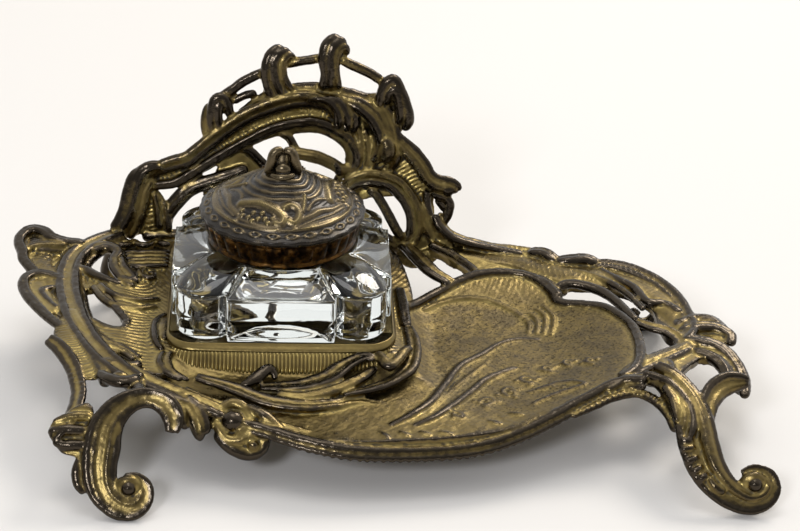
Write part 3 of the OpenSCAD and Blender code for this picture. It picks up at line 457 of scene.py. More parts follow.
def post_strands(cast):
    """The post at the arch's left end, its knob and its ribbed web."""
    lay = pen(cast, on_gallery, up=GALLERY_UP, flat=0.85)
    lay(WORN, (-36, 21.6, 1.8, .6), (-40.4, 21.6, 2.2, .9), (-43.6, 19.6, 2.6, 1),
        (-45.4, 14.6, 2.7, 1), (-47.2, 7.6, 2.7, 1), (-50.4, 1.4, 2.7, .8), (-53.4, -2, 2, .4),
        grooves=TWO_GROOVES)
    lay(DARK, (-42, 21.4, 1.4, 0), (-46, 18.8, 1.9, .3), (-48, 13.6, 2, .4), (-49.6, 7, 2, .4),
        (-52.8, .8, 1.9, .2))
    lay(GOLD, (-40.6, 18, 1.3, .8), (-42.4, 14.4, 1.6, 1.1), (-43.6, 8.6, 1.7, 1.1),
        (-45.6, 2.8, 1.6, .9), (-48, -1.4, 1.3, .5))
    lay(GOLD, (-43, 16, 2.5, -.4), (-40, 8, 4.6, -.4), (-38, 0, 5.4, -.6), flat=.3, rib=.5)
    lay(GOLD, (-40, 13.6, .8, .7), (-38.8, 8, 1.1, .9), (-38.4, 2, 1.1, .8))
    lay(PLAIN, (-37.2, 11, .8, .5), (-35.8, 6, 1.1, .7), (-35.4, 1, 1.1, .6))


def left_end_strands(cast):
    """C-scroll, leaves and pierced strands at the stand's left end."""
    # Big C-scroll: dark outer roll, bright channel, inner ridge and dark inner wall
    scroll = [(-50.5, 36.5, .6, 3), (-53, 33.5, .9, 3.4), (-56.4, 29.5, 1, 3.8), (-60, 24.6, 1, 4),
        (-62.6, 18, .9, 4.1), (-63.6, 9, .6, 4.1), (-63, 0, .3, 4.1), (-61.4, -9, .2, 4),
        (-59, -18.6, .1, 3.9), (-56, -27.4, 0, 3.8), (-52.4, -35.6, 0, 3.7),
        (-48.2, -42.6, -.3, 3.6), (-43.4, -48.4, -.8, 3.3), (-39.4, -52.4, -1, 2.8)]
    cast.sheaf(scroll, [(.72, 0, .42, DARK), (.12, -.28, .6, PLAIN), (-.42, .12, .4, WORN),
        (-.86, -.3, .36, DARK)], flat=.95)
    # Hooked tongue at the scroll's upper end
    cast.strand([(-59, 22.4, 1.2, 2), (-55, 25, 1.6, 2.2), (-51.6, 24, 1.6, 2.2), (-50, 21, 1.4, 2),
        (-51, 17.4, 1.2, 2), (-50.4, 12, 1, 1.8), (-48, 7, .4, 1.6), (-44.6, 2, -.4, 1.4)],
        tone=PLAIN, grooves=ONE_GROOVE)
    cast.strand([(-48.6, 18, 1.8, 1), (-47.4, 12.6, 1.4, 1.2), (-45.4, 8.4, .8, 1.2),
        (-43.4, 4.6, 0, 1)], tone=WORN)
    # Upper leaf with its hollow, cupped by a rolled rim
    cast.strand([(-62, 25, .6, 2.6), (-69, 26, 1.4, 4.4), (-75, 25.4, 2, 5), (-79, 24, 2, 3.2)],
        flat=.34, tone=DARK)
    cast.strand([(-60.6, 27.6, 1.8, 1.7), (-66.4, 26.4, 2.6, 2), (-70.6, 27.4, 3.4, 2.1),
        (-73.6, 30.6, 4, 2.1), (-77, 32, 4, 2), (-79.6, 29.6, 3.8, 1.9), (-80.6, 25, 3.4, 1.8),
        (-79.2, 19.6, 2.8, 1.8), (-78.2, 15, 2.2, 1.7), (-75.6, 10.4, 1.6, 1.6), (-73, 7, 1, 1.4)],
        tone=DARK, grooves=ONE_GROOVE)
    cast.strand([(-66, 24.4, 2.4, 1.2), (-72.6, 23.6, 3, 1.5), (-76.8, 22.2, 2.8, 1.4),
        (-78.2, 18.6, 2.2, 1)], tone=GOLD)
    cast.strand([(-72.6, 22, 1, 2.6), (-73.6, 14, .8, 4), (-70.6, 5.6, .4, 4.4), (-66.4, -1, 0, 3)],
        flat=.36, tone=PLAIN, rib=.4)
    # Lower leaf
    cast.strand([(-66, -16, 0, 2.4), (-70, -8, .2, 3.2), (-73, 0, .6, 3), (-74, 5, .8, 1.8)],
        flat=.4, tone=BRIGHT)
    cast.strand([(-65, 3, .8, 1.4), (-69.6, 6.4, 1.4, 1.7), (-74, 6, 1.8, 1.8),
        (-76.6, 2.4, 1.8, 1.8), (-76.2, -3.2, 1.4, 1.8), (-73.4, -9.4, 1, 1.8),
        (-69.8, -15.4, .6, 1.7), (-65.8, -21, .2, 1.6), (-62.4, -25, 0, 1.4)], tone=WORN,
        grooves=ONE_GROOVE)
    cast.strand([(-67.6, 0, .8, 1), (-71, -3.4, 1, 1.3), (-69.4, -8, .8, 1.2),
        (-65.6, -13.4, .4, 1)], tone=DARK)
    # Webs between the scrolls, left open at three holes
    for outline, middle in (([(-66, 21.4), (-70, 27.6), (-76.5, 31), (-79, 28), (-79, 22),
            (-76, 14), (-73, 10), (-64, 8), (-63, 14)], (-70, 19)), ([(-64, 9), (-70, 8.5),
            (-74.6, 5), (-75, 1), (-73, -6), (-68.2, -12), (-63, -20), (-60, -24), (-62, -6)],
            (-67, -3)), ([(-47.4, -14), (-43, -7), (-33.4, -1.6), (-32, -15), (-32, -30),
            (-32, -44), (-40.3, -42.9), (-41.4, -39), (-45, -35.5), (-50, -33), (-54, -28),
            (-57, -19.6), (-52, -23), (-47.4, -24), (-45.2, -20)], (-39.5, -27)), ([(-58, 4),
            (-54.5, 1), (-51, -4), (-46.8, -11), (-44, -14), (-36, -8), (-32.6, 0), (-33, 16),
            (-41, 15), (-44.5, 8), (-46, 2), (-49, 4), (-53, 7)], (-44, -1.5)), ([(-62, 10.6),
            (-62, 1), (-57, .4), (-53, 4), (-52, 8.4), (-57, 11)], (-58, 6))):
        add_sheet(cast, outline, middle, .4, web_height)
    # Gold edge of the deck, scalloped behind the hook, with combed lines in front
    cast.strand([(-52, 32, -.4, 1), (-50, 29.6, .2, 1.2), (-47.6, 30.6, 0, 1.1),
        (-46, 33.4, -.2, 1), (-44.4, 30.4, .2, 1.2), (-42.2, 29.8, .2, 1.2), (-40.4, 32.4, -.2, 1),
        (-38.8, 34.6, -.4, 1), (-37.2, 31.6, 0, 1.2), (-34.6, 31.4, -.4, 1)], tone=BRIGHT)
    for shift, tone in ((0, WORN), (-2.4, GOLD), (-4.8, PLAIN), (-7.2, GOLD), (-9.6, WORN)):
        cast.strand([(-49 - shift * .1, 27 + shift, -1, .8), (-44, 26 + shift, -.5, 1.1),
            (-39, 27 + shift, -.7, 1), (-34.6, 28.6 + shift, -1.4, .8)], tone=tone)
    # Whorl in the scroll's hook
    cast.loop((-47.8, 11.2, .7), (2.5, 6.2), 27, .95, tone=DARK)
    cast.loop((-47.4, 10.4, .9), (1.1, 3.6), 27, .6, tone=GOLD)
    cast.strand([(-48.4, 13.4, .5, 1.6), (-47.4, 10.4, .5, 1.9), (-46.2, 7.4, .3, 1.4)], tone=PLAIN,
        flat=.5)
    cast.strand([(-41.6, 16, -1, .9), (-43, 13, -.4, 1.1), (-42, 9.6, -.3, 1.1), (-39.4, 9, -.4, 1),
        (-38.6, 11.6, -.5, .9), (-40.6, 12.4, -.3, .8)], tone=GOLD)
    # Ridges over the webs, round the holes
    cast.strand([(-54.6, 3, .4, 1.1), (-51, -2.6, .5, 1.2), (-46.6, -5.2, 0, 1.2),
        (-41, -5, -.7, 1.2), (-36.4, -2.4, -1.6, 1)], tone=GOLD)
    cast.strand([(-56.4, 1.6, .3, 1.2), (-52.6, -6.4, .3, 1.4), (-48.4, -10.4, -.2, 1.3),
        (-43, -10.4, -.9, 1.3), (-36.6, -7, -1.8, 1)], tone=BRIGHT)
    cast.strand([(-50.6, -8, .1, 1), (-47, -14.4, -.3, 1.3), (-45, -19, -.7, 1.2),
        (-46.4, -23.4, -.8, 1.2), (-51, -22.6, -.4, 1.2), (-55.4, -18.6, 0, 1)], tone=PLAIN)
    cast.strand([(-63, 9, .8, 1.7), (-60, 10.5, 1, 1.9), (-56.4, 8, .8, 1.7), (-52.4, 5.4, .6, 1.4),
        (-48, 3.4, 0, 1.2)], tone=WORN)
    cast.sheaf([(-60, -14, .3, 2.2), (-57.4, -21.6, .3, 2.4), (-54, -28, 0, 2.4),
        (-49.8, -32.6, -.6, 2.3), (-45, -34.6, -1.4, 2.1), (-40.8, -38.4, -2.4, 1.8)],
        [(-.5, 0, .56, WORN), (.5, .1, .6, BRIGHT)])
    cast.strand([(-50.4, -42.4, -.2, 1.6), (-46.4, -44.6, -.6, 1.8), (-42.6, -44.4, -1.2, 1.8),
        (-39.4, -41.4, -1.8, 1.5)], tone=WORN)
    # Narrow eye beside the plinth, and the lines that turn round the plinth's corner
    cast.strand([(-34, -11.6, -1.8, .7), (-36.2, -16, -1.2, 1), (-36.8, -22, -1, 1.1),
        (-36, -28.6, -1.2, 1), (-34, -33, -1.8, .7)], tone=-1)
    cast.strand([(-33.6, -15, -1.4, 1), (-34, -21.6, -1, 1.4), (-33.6, -28, -1.4, 1)], tone=GOLD)
    for x, tone in ((-30.6, GOLD), (-32.8, PLAIN)):
        cast.strand([(x - .6, -33.6, -2.2, .8), (x - 1.4, -38.6, -2.4, 1.1),
            (x + .4, -43.6, -3.2, 1.1), (x + 5, -46.6, -4.2, .8)], tone=tone)
    # Ribbed web along the scroll's lower run, and the side strand that drops from it
    cast.strand([(-61.6, -17, -.2, 2.8), (-61.4, -26, -.2, 4.2), (-58.6, -36, -.6, 4.6),
        (-54.4, -45, -1.2, 4), (-51.4, -51, -1.6, 3)], flat=.36, tone=GOLD, rib=.45)
    cast.sheaf([(-66.6, -32, .8, 1.8), (-63.4, -36, .6, 2.2), (-60.4, -41, -.2, 2.3),
        (-57.8, -47, -1.4, 2.3), (-56, -55, -2.8, 2.3), (-56.2, -62, -3.8, 2.3),
        (-57.4, -68, -4.6, 2.2), (-59.8, -71.4, -6, 2), (-62, -73, -8, 1.5)], [(.55, 0, .5, DARK),
        (0, -.1, .5, BRIGHT), (-.55, 0, .5, WORN)], up=(-.3, -.5, .8))
    cast.strand([(-55.4, -34, 0, 1.6), (-52.6, -41, -.3, 1.8), (-50, -48, -.8, 1.8),
        (-48.4, -54.6, -1.6, 1.7)], tone=WORN, grooves=ONE_GROOVE)
    # Curled knob with a bead over the front foot
    cast.strand([(-50.6, -49.4, -.6, 1.7), (-47.6, -53.6, 0, 2), (-43.8, -55.6, .3, 2),
        (-40.6, -54, .1, 1.9), (-40.6, -51.4, 0, 1.5)], tone=DARK)
    cast.ball((-44.6, -52.6, .2), (2.3, 1.9, 1.6), tone=GOLD)


def deck_strands(cast):
    """Ornament along the deck's front edge, from the left foot to the tray's rim."""
    # Rolled edge in two ridges, with the teardrop drops that hang from it
    cast.sheaf([(-45, -43, -1.6, 2.2), (-38.4, -50, -2.2, 2.6), (-30, -55, -3.6, 2.7),
        (-22.6, -58, -5, 2.6), (-15, -60.6, -7, 2.2)], [(-.5, .2, .6, BRIGHT), (.5, 0, .62, WORN)])
    cast.strand([(-31, -55.5, -3.4, 1.6), (-28.4, -60, -5.6, 2), (-26.6, -62.6, -8.4, 1.8),
        (-26, -63.4, -10.2, 1)], up=(0, -.7, .7))
    cast.strand([(-28.4, -55.4, -3, 1.3), (-25.2, -59.5, -5.4, 2.2), (-23, -63, -8, 2.4),
        (-22.2, -65, -10.6, 1.9), (-21.9, -65.8, -12.6, .9)], up=(0, -.7, .7), tone=GOLD,
        grooves=ONE_GROOVE)
    cast.strand([(-26, -57, -3.2, 1), (-22.4, -60.4, -5.4, 1.4), (-20.4, -63.4, -8.2, 1.4),
        (-20.4, -65, -10.8, 1.1)], up=(0, -.7, .7), tone=DARK)
    # Eye boss in its ring, with a curled bracket below it
    cast.ball((-13, -62, -8.4), (3.3, 3, 3.2), tone=-1)
    cast.strand([(-16.8, -59.4, -6.4, 1.4), (-13.4, -57.6, -5, 1.6), (-9.6, -59.2, -6, 1.6),
        (-8.2, -63.4, -8.8, 1.6), (-10.4, -66, -11.6, 1.5), (-14.4, -65.6, -11.8, 1.5),
        (-17.2, -63.2, -9.4, 1.4), (-17.4, -60.4, -7.2, 1.2)], up=(0, -.7, .7), tone=BRIGHT)
    cast.strand([(-18, -64, -10.6, 1.3), (-15, -65.8, -13, 1.9), (-11.6, -66.6, -14.8, 2.2),
        (-8, -66.8, -15.6, 2.2), (-5.2, -66.4, -14.4, 2), (-4.2, -65.4, -12.2, 1.7),
        (-4.6, -64.4, -9.8, 1.4)], up=(0, -.7, .7), tone=WORN)
    cast.ball((-9, -64.8, -12.2), (4.4, 2.2, 3), tone=GOLD)
    cast.ball((-7.2, -67.4, -13), (1.6, 1, 1.5), tone=BRIGHT)
    cast.strand([(-9.6, -58.6, -5.4, 1.5), (-5, -61, -6.4, 1.9), (-1.6, -63.4, -8, 1.7),
        (1.4, -66, -9.6, 1.3)], tone=GOLD)
    # Grooved leaves that run right along the deck's front
    cast.sheaf([(-24, -46, -3.4, 1.4), (-12.8, -49.5, -5.2, 2.2), (-3.9, -53.4, -6.8, 2.4),
        (6.3, -55, -7.4, 2.3), (15, -53, -7.9, 2), (22, -50.4, -8.4, 1.8), (29, -51.6, -9, 1.6),
        (33.6, -55.4, -9.6, 1.2)], [(-.5, .2, .55, WORN), (.5, 0, .6, GOLD)])
    cast.sheaf([(-27, -52, -4, 1.3), (-19, -56, -6, 1.7), (-8, -58.6, -7.6, 1.8),
        (0, -63.6, -9, 1.9), (8, -65.8, -10.4, 1.9), (17, -66.8, -11.6, 1.8),
        (25, -64.4, -11.6, 1.6), (28.8, -59, -10.6, 1.2)], [(-.5, .2, .55, GOLD),
        (.5, 0, .55, DARK)])
    # Thorn, and the dark leaf that rises to the plinth's right corner
    cast.strand([(-11.4, -46.4, -6.4, 1.2), (-7.8, -44.4, -5.2, 2), (-5, -42.2, -3.8, 2),
        (-3, -41, -3, 1.5), (-1.8, -42, -4.2, 1.1), (-1.6, -43.6, -5.6, .8)], tone=DARK)
    cast.sheaf([(-6, -46.6, -6, 1.5), (4.6, -46.8, -5.4, 2.6), (12.4, -43.8, -4.8, 3),
        (17, -40, -3.6, 2.9), (20.8, -38, -2, 2.4), (24.4, -37.4, -.9, 2), (27, -38.6, -1.3, 1.4)],
        [(-.55, .1, .5, WORN), (.05, -.1, .56, DARK), (.62, 0, .46, WORN)], flat=.6)
    cast.strand([(-1.2, -49.8, -6.2, 1.4), (6, -51.2, -6.6, 2), (15.2, -47.6, -6.3, 2.2),
        (22.3, -42.6, -5.5, 2), (27.3, -37.8, -4.2, 1.5)], tone=GOLD, grooves=TWO_GROOVES)
    # Scroll bracket beside the plinth's right corner
    cast.strand([(27.8, -34.5, -1.2, 1.3), (29, -38, -1.6, 1.8), (31, -41, -2, 1.8),
        (33.6, -37.4, -1.8, 1.7), (35.6, -33, -1.6, 1.6), (37.6, -30, -2, 1.2)], tone=BRIGHT)
    cast.sheaf([(37.4, -16, -3, 1.4), (38.4, -22, -3.6, 2), (38.5, -29.6, -4.2, 2.3),
        (36.6, -38, -5, 2.4), (30.8, -44.2, -5.8, 2.3), (25, -47.4, -6.2, 2),
        (17.6, -49.6, -6.6, 1.4)], [(.5, 0, .56, WORN), (-.5, .2, .56, GOLD)])
    cast.strand([(35.6, 8, -2.6, 1.6), (36.4, -4, -2.6, 1.8), (37, -16, -2.8, 1.6)], tone=WORN,
        grooves=ONE_GROOVE)


def tray_strands(cast):
    """The tray's rolled rim, its curled bars and its raised ornament."""
    rim = [(-14, -61.4, -8, 1.8), (-4, -64.8, -9, 1.9), (8, -69.2, -10.4, 2), (22, -70.9, -12, 2),
        (42, -69, -13, 2), (56, -66.4, -12.6, 2), (67, -62, -11, 2), (76, -57, -9, 2),
        (86, -51, -6.5, 2), (96, -45.8, -4, 2), (104, -48, -2, 1.9)]
    cast.sheaf(rim, [(0, .1, .8, WORN), (.9, -.55, .42, DARK)], flat=.9)
    # Bright beads under the front rim
    line = smooth_line(rim, gap=2.2)
    for x, y, z, r in line[8:-10]:
        cast.ball((x + .15, y - 2.1, z - 1.5), (.85, .7, .8), tone=1)
    edge = [(97, -43.6), (101.6, -39), (104.4, -31), (105.2, -21), (103.8, -11), (98, -1),
        (90.6, 3.2), (84.4, 6.4), (81.4, 14.6), (73.4, 20.6), (60, 19.8), (48.4, 12), (40.4, 3.2),
        (35, -5)]
    cast.strand([(x, y, sheet_height(x, y) + .3, 1.6) for x, y in edge], tone=WORN)
    # Ties to the gallery's foot
    cast.sheaf([(38, 38.2, -3, 2), (39.8, 33, -1.7, 2.5), (42.4, 26.4, -1.6, 2.7),
        (46.2, 19.4, -2.5, 2.7), (52, 14.4, -4, 2.2)], [(-.5, 0, .55, GOLD), (.5, .1, .55, WORN)])
    add_sheet(cast, [(60, 20), (58, 24.4), (54, 30), (51.4, 33.6), (52, 36), (60, 35.8), (70, 34),
        (79, 30), (88, 26), (88, 14), (82, 13.6), (74, 20), (66, 20)], (71, 26.4), .5, back_height)
    # Raised line along the back of the tray's floor, ending in four curled bars
    def on_tray(*places, tone=PLAIN):
        line = [(x, y, sheet_height(x, y) + .5 * lift - .3, .8 * r) for x, y, lift, r in places]
        cast.strand(line, tone=tone)

    on_tray((42.4, 1.6, .2, 1), (47.7, 6.6, .3, 1.3), (55.5, 9.6, .3, 1.4), (63.1, 8.9, .3, 1.4),
        (69.4, 5, .4, 1.3), (73.2, .2, .5, 1.2), tone=BRIGHT)
    for x, y, x2, y2, x3, y3 in ((73, .6, 74.8, -3.4, 74, -8), (75.3, 2.9, 77.4, -2.4, 76.4, -8.8),
            (77.4, 4.8, 79.9, -.8, 78.5, -9.6), (79.4, 6, 82.4, -1.6, 80.6, -10.6)):
        on_tray((x, y, .4, .9), (x2, y2, .7, 1.1), (x3, y3, .3, .8), tone=BRIGHT)
    # Long leaf on the tray's floor: two rolled edges and a vein
    on_tray((30.5, -62, .2, 1.1), (37.3, -56.2, .4, 1.5), (42.8, -49.3, .5, 1.7),
        (47.6, -38.8, .5, 1.7), (49.9, -33, .5, 1.6), (53.2, -27, .5, 1.5), (59.4, -20.9, .4, 1.4),
        (64.8, -14.7, .4, 1.2), (70.5, -11.5, .3, 1.1), (77.4, -11.9, .2, .9), tone=WORN)
    on_tray((37, -62, .2, 1), (43.2, -57.6, .4, 1.4), (49.3, -50.4, .5, 1.6), (55, -42, .5, 1.6),
        (59.3, -35.7, .4, 1.5), (65.5, -30.7, .3, 1.2), (69.1, -28.7, .2, .9), tone=WORN)
    on_tray((41.4, -55.6, .1, .8), (47.2, -45.5, .3, 1), (53.1, -35.8, .3, 1),
        (58.9, -27.9, .2, .9), (61.2, -23.9, .1, .7), tone=GOLD)
    # Small open flowers and sprigs along the front
    for x, y, size in ((58.6, -48, 2.3), (65.4, -42.6, 2.4), (71.4, -36, 2.2), (77.8, -29.6, 1.7),
            (83.9, -27.4, 1.6), (90.2, -28.8, 1.5), (50, -56, 1.6), (79.6, -40.4, 1.9)):
        top = sheet_height(x, y)
        cast.loop((x, y, top), (size, size * .75), 50 + 9 * x, .62, tone=PLAIN)
        cast.ball((x + .3, y, top), (size * .34, size * .3, .7), tone=BRIGHT)
        for turn in (1, 2.6, 4.3):
            px, py = x + size * 1.5 * math.cos(turn + x), y + size * 1.3 * math.sin(turn + x)
            cast.ball((px, py, sheet_height(px, py) - .1), (.9, .7, .6), tone=GOLD, turn=57 * turn)
    on_tray((70.6, -43.4, .2, .9), (79.1, -40.1, .5, 1.5), (83.9, -40.2, .5, 1.4),
        (87, -43.2, .4, 1.2), (80.6, -45.6, .4, 1.3), (73.4, -49.2, .3, 1.2), (71.4, -51.2, .2, .9),
        tone=PLAIN)
    for x, y, x2, y2 in ((27.4, -64.8, 30.4, -68.6), (33, -64.6, 36, -67.4),
            (38.6, -64.4, 42, -66.8), (44, -64.6, 48.2, -66.2), (58, -58.6, 62, -60.6),
            (64, -54.6, 68.6, -56.6)):
        on_tray((x, y, .1, .7), ((x + x2) / 2, (y + y2) / 2, .5, 1.1), (x2, y2, .4, .8), tone=GOLD)


def right_end_strands(cast):
    """Leaf band behind the tray, and the pierced scrollwork at the right end."""
    # Broad leaf: smooth gold band, ribbed crease and dark outer roll
    cast.strand([(52.6, 36, -3, 2.4), (58, 34.6, -3.6, 2.8), (66, 33, -4, 4), (74, 31, -4.2, 5),
        (81, 27.4, -4.5, 6), (88, 23, -4.6, 6.6), (97, 20.4, -4.6, 6), (107, 16.8, -5, 5.4),
        (114, 10, -5.5, 5.4), (119.6, 0, -6, 4.8), (121, -10, -6.6, 4), (118, -17, -6.8, 2.8)],
        flat=.3, tone=PLAIN, rib=.08)
    cast.sheaf([(50, 37.4, -2.6, 1.8), (58, 37.2, -2.7, 2), (70, 36, -2.8, 2.2),
        (79.4, 33.2, -2.8, 2.3)], [(-.5, .1, .6, BRIGHT), (.5, -.1, .55, GOLD)])
    # Edge of the small hole, and the dark roll that climbs to the gallery
    cast.strand([(61, 19.4, -3.8, 1.3), (58.8, 24, -3.3, 1.5), (54.8, 29.6, -2.8, 1.6),
        (50.4, 34, -2.2, 1.8), (46, 36.6, -1.4, 1.8)], tone=GOLD)
    cast.sheaf([(76, 33.6, -2.8, 2), (68, 35.4, -2, 2.3), (60, 36.4, -.8, 2.5), (54, 37, 1, 2.6),
        (50.4, 37.8, 4, 2.5), (48.6, 39.4, 8, 2.3)], [(-.45, 0, .62, DARK), (.45, -.1, .6, PLAIN)])
    add_sheet(cast, [(46, 37), (50, 33), (54, 29), (60, 31), (66, 35), (58, 37.4), (50, 38.4)],
        (54, 34.4), .5, back_height)
    # Two scalloped swells of the outer roll
    cast.strand([(77, 33.6, -2.8, 2.2), (81.4, 32.2, -2.2, 2.6), (84.2, 29.6, -2.4, 2.4),
        (86, 27, -3, 1.8)], tone=WORN, grooves=ONE_GROOVE)
    cast.strand([(85, 28.2, -3, 1.9), (89.6, 28, -2.4, 2.4), (95, 28.6, -2.4, 2.5),
        (99, 26.8, -3, 1.9)], tone=DARK, grooves=ONE_GROOVE)
    cast.sheaf([(97.6, 27, -3, 2), (104, 26.2, -3.2, 2.4), (110.2, 22.8, -3.6, 2.6),
        (116, 16.8, -4.2, 2.6), (119.6, 10.6, -4.8, 2.5), (121.4, 4.4, -5.2, 2.4),
        (122.4, -2.6, -5.4, 2.3), (122.6, -9, -5.4, 2.3), (121, -14.6, -5.4, 2.1),
        (118, -17.4, -5.6, 1.4)], [(-.45, .15, .62, DARK), (.5, -.1, .6, DARK)])
    add_sheet(cast, [(86, 25), (92, 25.2), (97.6, 24.6), (104, 23.4), (110.2, 20.4), (116, 14.6),
        (120, 8), (122.4, 1), (123.6, -5), (121, -12), (118.4, -19), (114.6, -15), (113.6, -8),
        (113.2, 0), (112.4, 4.6), (108.8, 9.6), (104, 13.5), (98, 15), (92, 16), (87, 16)],
        (108, 15), -.6, back_height)
    # Inner edge of the leaf with its curl towards the slot
    cast.strand([(74, 22, -4.4, 2.2), (80, 17.6, -4.6, 2.4), (83.2, 11.6, -4.6, 2.2),
        (84.6, 7, -4.6, 1.8)], tone=WORN, grooves=TWO_GROOVES)
    cast.strand([(84.4, 12.4, -4, 1.4), (87.8, 14.6, -3.6, 1.7), (92.6, 13.6, -3.6, 1.8),
        (97.4, 10.4, -3.8, 1.8), (101, 5.4, -4, 1.7), (103.8, -1.2, -4.2, 1.6),
        (106.6, -7.4, -4.6, 1.4)], tone=DARK)
    cast.strand([(98.9, 24.4, -3.6, 1.2), (103.7, 17.5, -3.4, 1.5), (108.1, 12.4, -3.6, 1.5),
        (111.3, 4, -4, 1.4), (116.6, 3.6, -4.4, 1.4), (121, -1.4, -5, 1.4)], tone=WORN)
    cast.strand([(88, 24, -3.6, 1), (94, 21, -3.3, 1.3), (101, 15, -3.4, 1.3), (106, 8, -3.8, 1.2),
        (109.4, -1, -4.2, 1)], tone=GOLD)
    # Strands from the leaf's end to the tray's corner
    cast.sheaf([(106.4, -7.4, -4.8, 1.6), (110.6, -10.4, -5, 2), (115, -12.4, -5.4, 2.2),
        (118, -16.4, -5.8, 2.2), (118.4, -21, -6, 2)], [(-.5, .1, .6, GOLD), (.5, 0, .55, WORN)])
    cast.sheaf([(123.6, -15.6, -6.4, 2), (118.4, -21.8, -6, 2.8), (112.3, -27.6, -5.4, 3.1),
        (106.6, -33, -4.8, 3.2), (102.2, -38, -4.2, 3), (98.4, -43, -4, 2.6)], [(-.6, 0, .46, DARK),
        (0, .15, .5, GOLD), (.6, 0, .46, WORN)])
    cast.sheaf([(112, -31, -5, 2.2), (111.6, -37, -5, 2.5), (112, -43, -5.2, 2.7),
        (113, -49, -5.6, 2.8), (114.4, -55, -6, 2.6)], [(-.5, 0, .55, WORN),
        (.5, .15, .58, BRIGHT)])
    # The tray's rim runs on over the right foot's shoulder, with a ribbed apron below it
    cast.strand([(92, -48.4, -5.2, 1.5), (98, -45.6, -3.6, 1.9), (103.4, -45.4, -2.9, 2),
        (107.6, -48, -2.9, 2), (110.6, -52.6, -3.8, 2), (112.2, -57.6, -5.6, 2),
        (113, -62.4, -8.4, 1.7)], tone=WORN, grooves=ONE_GROOVE)
    cast.strand([(82, -56.4, -9, 1.1), (88, -53.4, -7.6, 1.4), (94.4, -50.2, -6.2, 1.6),
        (101, -49, -5.4, 1.7), (105.8, -52, -5.8, 1.8), (109.4, -57, -7.4, 1.8),
        (111, -62.4, -10.2, 1.5)], tone=GOLD, rib=.4, pitch=1.8)
    # Leaf tips at the far right, with webs between their rolls
    for outline, middle in (([(118.6, -4), (124, -3), (129, -2), (132.4, -6.6), (134.4, -10.4),
            (134, -15), (130.6, -17.6), (127, -19.6), (121.6, -19), (120, -13)], (126, -11)),
            ([(121, -17), (127, -18.6), (131, -19.4), (134, -21), (135, -28), (135, -33),
            (133.6, -40), (131, -37.6), (128.6, -34), (128, -29.4), (125.8, -26.2), (122.6, -26.6),
            (119.6, -24)], (130, -25.6)), ([(101, -36), (104.6, -31), (108, -27), (112.8, -23),
            (118.4, -19.4), (121.6, -21), (122.6, -26.4), (119, -31.4), (115.6, -37), (113.4, -41),
            (108, -42), (103, -40)], (111, -32))):
        add_sheet(cast, outline, middle, .4, end_height)
    cast.strand([(118, -8, -6.2, 2.2), (123.4, -4.6, -6, 2.7), (128.4, -4.4, -5.8, 2.6),
        (131.8, -7.6, -6, 2), (133.6, -10, -6.4, 1.2)], tone=DARK, grooves=TWO_GROOVES)
    cast.strand([(119, -12.4, -6, 2), (124.6, -9.6, -5.6, 2.3), (130, -9.4, -5.8, 2.4),
        (134, -12.4, -6.4, 2), (133.6, -17.4, -7, 1.4)], tone=WORN, grooves=ONE_GROOVE)
    cast.strand([(118.6, -16, -6, 2.1), (125, -18, -6, 2.5), (130, -20.4, -6.8, 2.5),
        (133, -25.4, -8, 2.4), (134.4, -32, -9, 2.3), (134.2, -38, -9.6, 2.1),
        (133.6, -43, -10, 1.3)], tone=DARK, grooves=ONE_GROOVE)
    cast.strand([(121, -22.6, -6.2, 1.8), (126, -24.8, -6.6, 2.1), (129.4, -29.6, -7.6, 2.2),
        (129.6, -35.4, -8.6, 2.2), (126.6, -40, -8.6, 2.2), (122.4, -45, -7.8, 2.3),
        (118.6, -50.4, -6.8, 2.4), (115, -55, -6, 2.2)], tone=WORN, grooves=TWO_GROOVES)


